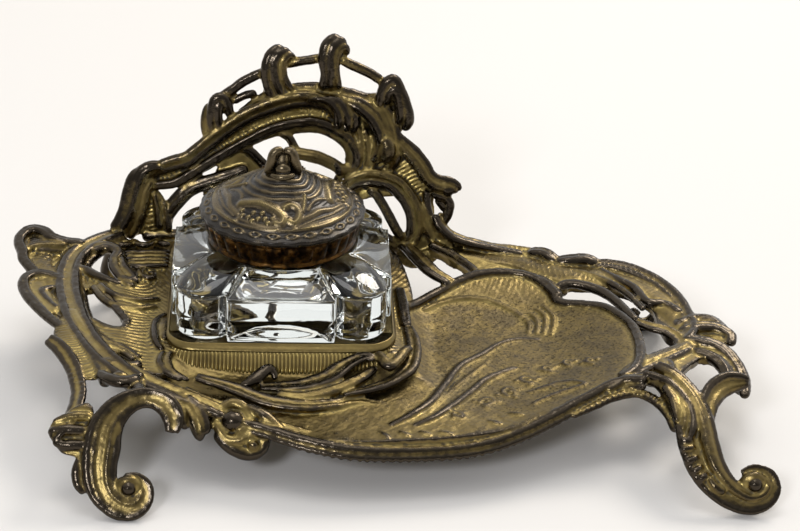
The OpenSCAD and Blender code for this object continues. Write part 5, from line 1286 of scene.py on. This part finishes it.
def lid_relief(x, y, ovals):
    """Height of the chased pattern over the cone, in millimetres: wavy growth rings round
    the peak, then three times a pair of commas, a berry cluster and a lined leaf, then a
    line and a border of ovals."""
    r, a = np.hypot(x, y), np.arctan2(y, x)
    wavy = r + .3 * np.sin(3 * a + .6) + .14 * np.sin(5 * a + 2) + .06 * np.sin(11 * a)
    ring = .5 + .5 * np.cos(2 * math.pi * wavy / 1.9)
    h = .3 * ring * ease(r, 4, 5.2) * ease(wavy, 13.4, 12)
    faint = .5 + .5 * np.cos(2 * math.pi * (r + .7 * np.sin(2 * a + 1)) / 1.05)
    h += .1 * faint * ease(r, 12, 13.5) * ease(r, 21, 20)
    for turn in (0, 2 * math.pi / 3, -2 * math.pi / 3):
        c, s = math.cos(turn), math.sin(turn)
        u, v = x * c + y * s, y * c - x * s
        for places, width, high in LID_STROKES:
            line = smooth_line([(*p, 0) for p in places], gap=.45)
            near = np.full(r.shape, 9.0)
            for px, py, _ in line:
                near = np.minimum(near, np.hypot(u - px, v - py))
            h = np.maximum(h, high * np.exp(-(near / width) ** 2))
        for bx, by in LID_BERRIES:
            off = ((u - bx) ** 2 + (v - by) ** 2) / .8
            h = np.maximum(h, .75 * np.sqrt(np.clip(1 - off, 0, 1)))
    oval = np.hypot(np.sin(a * ovals / 2) * RIM_R / ovals * 2, (r - 22.3) * 1.9)
    border = .38 * bump(oval, 1.4, .42) + .42 * bump(r, 20.5, .42)
    return h * ease(r, 20.9, 20.2) + border


def lid_solid(ovals):
    """The repousse lid: a relief grid over the cone, a rolled wavy rim that hangs a little
    over the collar's lip, and the plain underside."""
    count, rings = 720, 150
    a = 2 * math.pi * np.arange(count) / count
    wave = .16 * np.cos(ovals * a) + .1 * np.sin(5 * a)
    inner_r, rise = RIM_R - LID_T, CONE_RISE - .8

    def ring(r, z):
        return ring_at(a, r, z)

    rows = [ring(r, RIM_Z + .8 + rise * (1 - r / inner_r) ** 1.05)
            for r in np.linspace(1.3, inner_r - .02, 30)]
    rows += [ring(inner_r, RIM_Z + .8), ring(inner_r, RIM_Z), ring(23.4, RIM_Z),
             ring(23.5, RIM_Z - .45), ring(23.9, RIM_Z - .6)]
    rows += [ring(RIM_R + out + wave, RIM_Z + lift) for out, lift in
             ((-.05, -.5), (.2, -.2), (.25, .2), (.2, .6), (.05, .95))]
    for share in np.linspace(.995, .055, rings):
        r = (RIM_R + wave) * share
        x, y = r * np.cos(a), r * np.sin(a)
        slope = CONE_RISE * 1.05 / RIM_R
        relief = lid_relief(x, y, ovals) - .2
        lean = math.hypot(1, slope)
        out = relief * slope / lean
        rows.append(np.stack([x + out * np.cos(a), y + out * np.sin(a),
                              lid_top(r) + relief / lean], -1))
    return closed_rows(rows)


def knuckle_solid(y, z, inner, outer, length):
    """A tube along x at (y, z) with a bore."""
    count = 40
    a = 2 * math.pi * np.arange(count) / count
    half = length / 2
    rows = [np.stack([np.full(count, x), y + r * np.cos(a), z + r * np.sin(a)], -1)
            for x, r in ((-half, inner), (-half, outer - .15), (-half + .15, outer),
                         (half - .15, outer), (half, outer - .15), (half, inner))]
    return ring_solid(rows)


# ---- Materials ------------------------------------------------------------------------

def plug(tree, node, inputs):
    """Gives a node's sockets their values, or links them to other nodes' outputs."""
    for key, value in inputs.items():
        if isinstance(value, bpy.types.NodeSocket):
            tree.links.new(value, node.inputs[key])
        else:
            node.inputs[key].default_value = value


def add(tree, kind, inputs=None, **settings):
    """Adds a node: settings are its own properties, inputs are values or other nodes'
    outputs for its sockets."""
    made = tree.nodes.new(kind)
    for key, value in settings.items():
        setattr(made, key, value)
    plug(tree, made, inputs or {})
    return made


def blank(name):
    """A new material with only its output, its node tree and its shader."""
    material = bpy.data.materials.new(name)
    material.use_nodes = True
    tree = material.node_tree
    tree.nodes.clear()
    shader = tree.nodes.new("ShaderNodeBsdfPrincipled")
    out = tree.nodes.new("ShaderNodeOutputMaterial")
    tree.links.new(shader.outputs["BSDF"], out.inputs["Surface"])
    return material, tree, shader


def maths(tree, operation, a, b, c=0.0, clamp=False):
    return add(tree, "ShaderNodeMath", {0: a, 1: b, 2: c}, operation=operation,
               use_clamp=clamp).outputs[0]


def mixed(tree, share, a, b):
    return add(tree, "ShaderNodeMix", {0: share, 6: a, 7: b}, data_type="RGBA").outputs[2]


def grain(tree, size_mm, detail=3.0, roughness=0.55):
    """Noise on Object coordinates whose lumps are about size_mm across."""
    place = add(tree, "ShaderNodeTexCoord").outputs["Object"]
    return add(tree, "ShaderNodeTexNoise", {"Vector": place, "Scale": 1 / (size_mm * MM),
               "Detail": detail, "Roughness": roughness}).outputs["Fac"]


def between(tree, value, low, high):
    """0 below low, 1 above high."""
    return add(tree, "ShaderNodeMapRange", {0: value, 1: low, 2: high, 3: 0.0, 4: 1.0},
               interpolation_type="SMOOTHSTEP").outputs[0]


def uneven(tree, height, strength, depth_mm):
    """Normal of a surface that the height roughens by up to depth_mm."""
    return add(tree, "ShaderNodeBump", {"Height": height, "Strength": strength,
               "Distance": depth_mm * MM}).outputs["Normal"]


def attribute(tree, name):
    """A value that the mesh keeps for each of its points."""
    return add(tree, "ShaderNodeAttribute", attribute_name=name).outputs["Fac"]


def gilt_brass(colours):
    """Cast brass with worn gilding: gold in the hollows that hands and cloths don't reach,
    rubbed to dark grey-brown metal on the raised rolls, with old polish and painted shade in
    the corners."""
    material, tree, shader = blank("gilt_cast_brass")
    tone = attribute(tree, "tone")
    fine = attribute(tree, "fine_hollow")
    broad = attribute(tree, "broad_hollow")
    tray = attribute(tree, "tray")
    mottle = grain(tree, 7.0, 5.0, 0.62)
    patch = grain(tree, 2.2, 4.0, 0.6)
    speck = grain(tree, 0.8, 2.0, 0.6)
    # How hollow the place is decides how much gilding is left; the noise makes it patchy
    hollow = maths(tree, "MULTIPLY_ADD", tone, 0.27, broad)
    hollow = maths(tree, "ADD", hollow, maths(tree, "MULTIPLY_ADD", mottle, 0.5, -0.25))
    hollow = maths(tree, "ADD", hollow, maths(tree, "MULTIPLY_ADD", patch, 0.3, -0.15))
    kept = between(tree, hollow, -0.34, 0.02)
    colour = mixed(tree, kept, linear(colours.worn), linear(colours.brass))
    colour = mixed(tree, between(tree, hollow, -0.05, 0.5), colour, linear(colours.gilt))
    # The tray's floor is matt, dull in patches and speckled brown
    dull = maths(tree, "MULTIPLY", between(tree, mottle, 0.4, 0.62), tray)
    colour = mixed(tree, maths(tree, "MULTIPLY", dull, 0.6), colour, linear(colours.worn))
    specks = maths(tree, "MULTIPLY", between(tree, speck, 0.5, 0.66), tray)
    colour = mixed(tree, maths(tree, "MULTIPLY", specks, 0.7), colour, linear(colours.grime_and_shade))
    # Old polish in the corners, with painted shade there, more where two strands meet
    polish_and_shade = maths(tree, "ADD", between(tree, hollow, 0.55, 1.1), between(tree, fine, 0.04, 0.12))
    polish_and_shade = maths(tree, "MULTIPLY", polish_and_shade, maths(tree, "MULTIPLY_ADD", patch, 1.2, 0.25),
                 clamp=True)
    colour = mixed(tree, maths(tree, "MULTIPLY", polish_and_shade, 0.95), colour, linear(colours.grime_and_shade))
    rough = maths(tree, "MULTIPLY_ADD", patch, 0.2, 0.1)
    rough = maths(tree, "MULTIPLY_ADD", kept, 0.12, rough)
    rough = maths(tree, "ADD", rough, maths(tree, "MULTIPLY", polish_and_shade, 0.3))
    rough = maths(tree, "ADD", rough, maths(tree, "MULTIPLY", tray, 0.16), clamp=True)
    metal = maths(tree, "MULTIPLY_ADD", polish_and_shade, -0.6, 1.0, clamp=True)
    height = maths(tree, "ADD", maths(tree, "MULTIPLY", patch, 0.9), speck)
    height = maths(tree, "MULTIPLY_ADD", grain(tree, 0.35, 2.0), 0.6, height)
    plug(tree, shader, {"Base Color": colour, "Roughness": rough, "Metallic": metal,
                        "Normal": uneven(tree, height, 0.3, 0.16)})
    return material


def lid_bronze(colours):
    """Stamped brass, bronzed dark and rubbed: grey-brown with gold on the raised coils."""
    material, tree, shader = blank("bronzed_repousse_brass")
    raised = attribute(tree, "raised")
    mottle, patch = grain(tree, 4.0, 4.0), grain(tree, 1.0, 3.0)
    high = maths(tree, "ADD", raised, maths(tree, "MULTIPLY_ADD", mottle, 1.3, -0.65))
    colour = mixed(tree, between(tree, high, 0.0, 0.6), linear(colours.grime_and_shade),
                   linear(colours.bronze))
    golden = maths(tree, "MULTIPLY", between(tree, high, 0.8, 1.5), 0.4)
    colour = mixed(tree, golden, colour, linear(colours.gilt))
    rough = maths(tree, "MULTIPLY_ADD", patch, 0.35, 0.12, clamp=True)
    metal = maths(tree, "MULTIPLY_ADD", between(tree, high, 0, .5), 0.5, 0.5, clamp=True)
    plug(tree, shader, {"Base Color": colour, "Roughness": rough, "Metallic": metal,
                        "Normal": uneven(tree, patch, 0.3, 0.08)})
    return material


def plain_metal(name, base, dark, size_mm, rough):
    """Turned metal with tarnish in patches: one colour shades into a darker one."""
    material, tree, shader = blank(name)
    patch = grain(tree, size_mm, 4.0)
    colour = mixed(tree, between(tree, patch, 0.35, 0.65), linear(dark), linear(base))
    dulled = maths(tree, "MULTIPLY_ADD", patch, -0.2, rough + 0.1, clamp=True)
    plug(tree, shader, {"Base Color": colour, "Roughness": dulled, "Metallic": 1.0,
                        "Normal": uneven(tree, grain(tree, 0.5), 0.15, 0.05)})
    return material


def plaster():
    """Plaster of Paris, gritty and off-white, that holds the collar on the neck."""
    material, tree, shader = blank("plaster_cement")
    patch = grain(tree, 1.2, 4.0)
    colour = mixed(tree, patch, linear("#A79C86"), linear("#D8D2C4"))
    plug(tree, shader, {"Base Color": colour, "Roughness": 0.9,
                        "Normal": uneven(tree, patch, 0.5, 0.1)})
    return material


def cut_glass():
    """Old pressed and cut soda glass: clear with a faint green-grey cast and soft
    unevenness in its polish."""
    material, tree, shader = blank("pressed_soda_glass")
    plug(tree, shader, {"Base Color": linear("#F4F8F5"), "Roughness": 0.015, "IOR": 1.51,
                        "Transmission Weight": 1.0,
                        "Normal": uneven(tree, grain(tree, 9.0, 2.0), 0.12, 0.3)})
    return material


def paper_floor(colours):
    """Matt seamless paper under and behind the object."""
    material, tree, shader = blank("floor_paper")
    plug(tree, shader, {"Base Color": linear(colours.floor), "Roughness": 0.9,
                        "Specular IOR Level": 0.2})
    return material


# ---- Operators ------------------------------------------------------------------------

def finish_piece(piece, material, body, slot, *nodes):
    """Gives a piece its material and its body, and hides the nodes that it stands for. The slot is
    not used.
    """
    piece.data.materials.clear()
    piece.data.materials.append(material)
    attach(piece, body)
    if nodes:
        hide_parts(*nodes)


class CastStand(bpy.types.Operator):
    """Casts the whole stand as one skin and parts it into pieces"""
    bl_idname = "inkstand.cast_stand"
    bl_label = "Cast stand"

    def execute(self, context):
        sizes, colours = context.scene.stand_sizes, context.scene.finishes
        cast = Casting()
        add_sheet(cast, DECK_OUTLINE, DECK_MID, PLAIN)
        add_sheet(cast, TRAY_OUTLINE, TRAY_MID, PLAIN)
        gallery_webs(cast)
        gallery_strands(cast)
        crest_strands(cast)
        post_strands(cast)
        left_end_strands(cast)
        deck_strands(cast)
        tray_strands(cast)
        right_end_strands(cast)
        feet_strands(cast)
        stand, edges = fuse(cast, sizes.skin * (1.0))
        ground(stand)
        chase(stand, edges, sizes.tool_line)
        brass = gilt_brass(colours)
        pieces = split_stand(stand, [
            ("stand_gallery", (0, 37, 0), (0, .7, .714)),
            ("stand_left_end", (-41, 0, 0), (-.97, -.24, 0)),
            ("stand_right_end", (90, -20, 0), (1, 0, 0)),
            ("stand_tray", (38, -20, 0), (.95, -.3, 0))])
        stand.name = "stand_deck"
        nodes = {"stand_gallery": ["gallery_arch", "gallery_crest", "gallery_right_scrolls",
                                   "gallery_left_post"],
                 "stand_left_end": ["left_scrollwork", "front_left_foot", "back_left_foot"],
                 "stand_right_end": ["right_leaf_band", "right_scrollwork",
                                     "front_right_foot", "back_right_foot"],
                 "stand_tray": ["pen_tray"], "stand_deck": ["well_deck"]}
        for piece in pieces:
            finish_piece(piece, brass, "stand", "gilt_brass", *nodes[piece.name])
        return {"FINISHED"}


def ground(stand):
    """Files the soles flat: no point lies under the table."""
    co = read_points(stand.data)
    co[:, 2] = np.maximum(co[:, 2], 0)
    write_points(stand.data, co)


class MakePlinth(bpy.types.Operator):
    """Makes the ribbed plinth that the glass sits in"""
    bl_idname = "inkstand.make_plinth"
    bl_label = "Make plinth"

    def execute(self, context):
        points, faces, hollow = plinth_solid(context.scene.stand_sizes.rib / MM)
        piece = show("stand_plinth", mesh_of("stand_plinth", points, faces))
        height = points[:, 2]
        write_value(piece.data, "tone", np.where(height > -1.7, .4, .9))
        # The material darkens the grooves between the ribs with old polish and painted shade
        write_value(piece.data, "fine_hollow", hollow)
        # Painted shade: the band counts as more hollow towards the plinth's foot, so it darkens
        # there
        write_value(piece.data, "broad_hollow", .5 * ease(-height, 4.6, 7) * (height < -.1))
        write_value(piece.data, "tray", np.zeros(len(points)))
        material = bpy.data.materials["gilt_cast_brass"]
        finish_piece(piece, material, "stand", "gilt_brass", "well_plinth")
        return {"FINISHED"}


class BlowGlass(bpy.types.Operator):
    """Makes the square glass inkwell with its lobed corners and ink bore"""
    bl_idname = "inkstand.blow_glass"
    bl_label = "Make glass"

    def execute(self, context):
        sizes = context.scene.inkwell_sizes
        points, faces = glass_solid(sizes.bore / MM, sizes.floor / MM)
        piece = show("inkwell_glass", mesh_of("inkwell_glass", points, faces))
        finish_piece(piece, cut_glass(), "inkwell", "clear_glass", "glass_inkwell")
        return {"FINISHED"}


class FitCollar(bpy.types.Operator):
    """Finishes the collar, its cement and pin, and adds its ring of flutes"""
    bl_idname = "inkstand.fit_collar"
    bl_label = "Fit collar"

    def execute(self, context):
        colours = context.scene.finishes
        amber = plain_metal("lacquered_amber_brass", colours.amber, "#150E08", 2.2, 0.3)
        points, faces = collar_flutes_solid(context.scene.inkwell_sizes.flutes)
        ring = show("collar_flutes", mesh_of("collar_flutes", points, faces))
        finish_piece(ring, amber, "inkwell", "collar_brass")
        steel = plain_metal("dulled_steel_pin", "#5E574C", "#26211A", 1.5, 0.4)
        carried = {"collar": amber, "lid_liner": amber, "hinge_pin": steel,
                   "collar_cement": plaster()}
        for name, material in carried.items():
            node = frame["nodes"][name]
            node.data.materials.clear()
            node.data.materials.append(material)
        return {"FINISHED"}


class RaiseLid(bpy.types.Operator):
    """Makes the repousse lid with its knuckle"""
    bl_idname = "inkstand.raise_lid"
    bl_label = "Raise lid"

    def execute(self, context):
        dome = lid_solid(context.scene.inkwell_sizes.ovals)
        knuckle = knuckle_solid(HINGE_Y, HINGE_Z, KNUCKLE_BORE, KNUCKLE_R, KNUCKLE_LENGTH)
        lug = box_solid((-LUG_HALF, RIM_R - .7, RIM_Z), (LUG_HALF, HINGE_Y - 1, RIM_Z + 1.05))
        points, faces = joined(dome, knuckle, lug)
        piece = show("lid_dome", mesh_of("lid_dome", points, faces))
        r = np.hypot(points[:, 0], points[:, 1])
        raised = (points[:, 2] - lid_top(r)) / .5 + .3
        write_value(piece.data, "raised", np.clip(raised, 0, 1.2))
        finish_piece(piece, lid_bronze(context.scene.finishes), "lid", "bronzed_lid", "lid")
        return {"FINISHED"}


class SculptFinial(bpy.types.Operator):
    """Makes the twisted curl on top of the lid"""
    bl_idname = "inkstand.sculpt_finial"
    bl_label = "Sculpt finial"

    def execute(self, context):
        base = float(lid_top(FINIAL_R))
        knob = Casting()
        front = {"up": (0, -1, 0), "flat": 1}
        # Back wall, then the two lobes that curl up and meet, with a slot between them
        knob.strand([(0, .8, base - 1.4, 4.2), (0, 1.4, base + .8, 3.6), (0, 1.4, base + 3.4, 3),
                     (0, .8, base + 5.4, 2.2)], tone=.1, **front)
        knob.strand([(-4.8, -.8, base - 1.4, 1.1), (-3.9, -1, base + .8, 1.5),
                     (-3.3, -1.2, base + 3, 1.5), (-3, -1.1, base + 4.8, 1.4),
                     (-2, -.8, base + 6, 1.3), (0, -.5, base + 6.2, 1.2)], tone=.3, **front)
        knob.strand([(5, -.4, base - 1.2, 1.1), (4, -.8, base + 1, 1.5), (3.3, -1.1, base + 3, 1.5),
                     (3, -1.1, base + 4.8, 1.4), (2, -.9, base + 6, 1.3),
                     (0, -.6, base + 6.1, 1.2)], tone=.3, **front)
        knob.strand([(1.1, -2.2, base + 2.6, .4), (1, -2.5, base + 4, .5),
                     (.9, -2.2, base + 5.4, .45)], tone=1, **front)
        # Nose below the slot, running out into the cone
        knob.ball((0, -2.6, base + 1), (2.3, 1.7, 2), tone=1)
        knob.strand([(-3.4, -2.6, base - .7, .8), (-1.4, -4.4, base - .8, 1.1),
                     (1.2, -4.5, base - .7, 1.1), (3.4, -2.8, base - .5, .8)], tone=.7, **front)
        piece, edges = fuse(knob, FINIAL_SKIN)
        piece.name = "lid_finial_curl"
        co = read_points(piece.data)
        co[:, 2] = np.minimum(co[:, 2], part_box("lid_finial")[1].z)
        write_points(piece.data, co)
        hollow = hollow_of(co, edges, read_normals(piece.data), 30)
        write_value(piece.data, "raised", .55 - 4 * hollow)
        material = bpy.data.materials["bronzed_repousse_brass"]
        finish_piece(piece, material, "lid", "bronzed_lid", "lid_finial")
        return {"FINISHED"}


class SetStage(bpy.types.Operator):
    """Lays the floor, hangs the lamps and sets the camera"""
    bl_idname = "inkstand.set_stage"
    bl_label = "Set stage"

    def execute(self, context):
        colours = context.scene.finishes
        reach = 4
        floor = bpy.data.meshes.new("floor")
        floor.from_pydata([(-reach, -reach, 0), (reach, -reach, 0), (reach, reach, 0),
                           (-reach, reach, 0)], [], [[0, 1, 2, 3]])
        floor.materials.append(paper_floor(colours))
        show("floor", floor)
        # Soft window light from behind on the right, a broad fill from the front
        lamps = (("window", (0.55, 0.75, 1.0), 0.5, 9, "#FFF9F0"),
                 ("fill", (-0.4, -1.0, 0.7), 0.25, 6.5, "#F4F7FF"),
                 ("top", (-0.1, 0.1, 1.3), 0.6, 3, "#FFFFFF"))
        for name, place, size, power, colour in lamps:
            lamp = bpy.data.lights.new(name, "AREA")
            lamp.shape, lamp.size, lamp.energy = "DISK", size, power
            lamp.color = linear(colour)[:3]
            hung = bpy.data.objects.new(name, lamp)
            hung.location = place
            aim = Vector((0, 0, .03)) - hung.location
            hung.rotation_euler = aim.to_track_quat("-Z", "Y").to_euler()
            context.scene.collection.objects.link(hung)
        world = bpy.data.worlds.new("studio")
        context.scene.world = world
        world.use_nodes = True
        tree = world.node_tree
        tree.nodes.clear()
        ray = add(tree, "ShaderNodeLightPath")
        seen = maths(tree, "MAXIMUM", ray.outputs["Is Camera Ray"],
                     ray.outputs["Is Transmission Ray"])
        # The room is bright behind and above, and dim on the camera's side
        way = add(tree, "ShaderNodeTexCoord").outputs["Generated"]
        behind = add(tree, "ShaderNodeVectorMath", {0: way, 1: (0.2, 0.85, 0.5)},
                     operation="DOT_PRODUCT").outputs["Value"]
        room = maths(tree, "MULTIPLY_ADD", between(tree, behind, -0.3, 0.5), 0.68, 0.32)
        strength = maths(tree, "MAXIMUM", seen, room)
        sky = add(tree, "ShaderNodeBackground", {"Color": (1, 1, 1, 1), "Strength": strength})
        add(tree, "ShaderNodeOutputWorld", {"Surface": sky.outputs[0]})
        set_camera(context)
        context.scene.view_settings.view_transform = "Standard"
        return {"FINISHED"}


def set_camera(context):
    """The camera stands 0.7 m away and looks 27 degrees down, rolled by 2 degrees."""
    place = Vector((-0.02875, -0.6032, 0.3503))
    yaw, down, roll = math.radians(3.25), math.radians(26.88), math.radians(2.2)
    ahead = Vector((math.sin(yaw) * math.cos(down), math.cos(yaw) * math.cos(down),
                    -math.sin(down)))
    level = ahead.cross(Vector((0, 0, 1))).normalized()
    above = level.cross(ahead)
    right = level * math.cos(roll) + above * math.sin(roll)
    up = above * math.cos(roll) - level * math.sin(roll)
    lens = bpy.data.cameras.new("camera")
    lens.lens, lens.sensor_width = 104.985, 36
    lens.clip_start, lens.clip_end = 0.01, 50
    camera = bpy.data.objects.new("camera", lens)
    camera.matrix_world = Matrix.Translation(place) @ Matrix(
        (right, up, -ahead)).transposed().to_4x4()
    context.scene.collection.objects.link(camera)
    context.scene.camera = camera


class InkstandPanel(bpy.types.Panel):
    """Lists the inkstand's sizes, finishes and steps"""
    bl_idname = "VIEW3D_PT_inkstand"
    bl_label = "Inkstand"
    bl_space_type = "VIEW_3D"
    bl_region_type = "UI"
    bl_category = "Inkstand"

    def draw(self, context):
        for group in (context.scene.stand_sizes, context.scene.inkwell_sizes,
                      context.scene.finishes):
            box = self.layout.box()
            for name in group.bl_rna.properties.keys():
                if name not in ("rna_type", "name"):
                    box.prop(group, name)
        for step in STEPS:
            self.layout.operator(step.bl_idname)


STEPS = (SetStage, CastStand, MakePlinth, BlowGlass, FitCollar, RaiseLid, SculptFinial)
GROUPS = {"stand_sizes": StandSizes, "inkwell_sizes": InkwellSizes, "finishes": Finishes}


def register():
    for name, group in GROUPS.items():
        bpy.utils.register_class(group)
        setattr(bpy.types.Scene, name, bpy.props.PointerProperty(type=group))
    for step in (*STEPS, InkstandPanel):
        bpy.utils.register_class(step)


def unregister():
    for step in (InkstandPanel, *reversed(STEPS)):
        bpy.utils.unregister_class(step)
    for name, group in GROUPS.items():
        delattr(bpy.types.Scene, name)
        bpy.utils.unregister_class(group)


def main():
    register()
    bpy.ops.inkstand.set_stage()
    bpy.ops.inkstand.cast_stand()
    bpy.ops.inkstand.make_plinth()
    bpy.ops.inkstand.blow_glass()
    bpy.ops.inkstand.fit_collar()
    bpy.ops.inkstand.raise_lid()
    bpy.ops.inkstand.sculpt_finial()


if __name__ == "__main__":
    main()
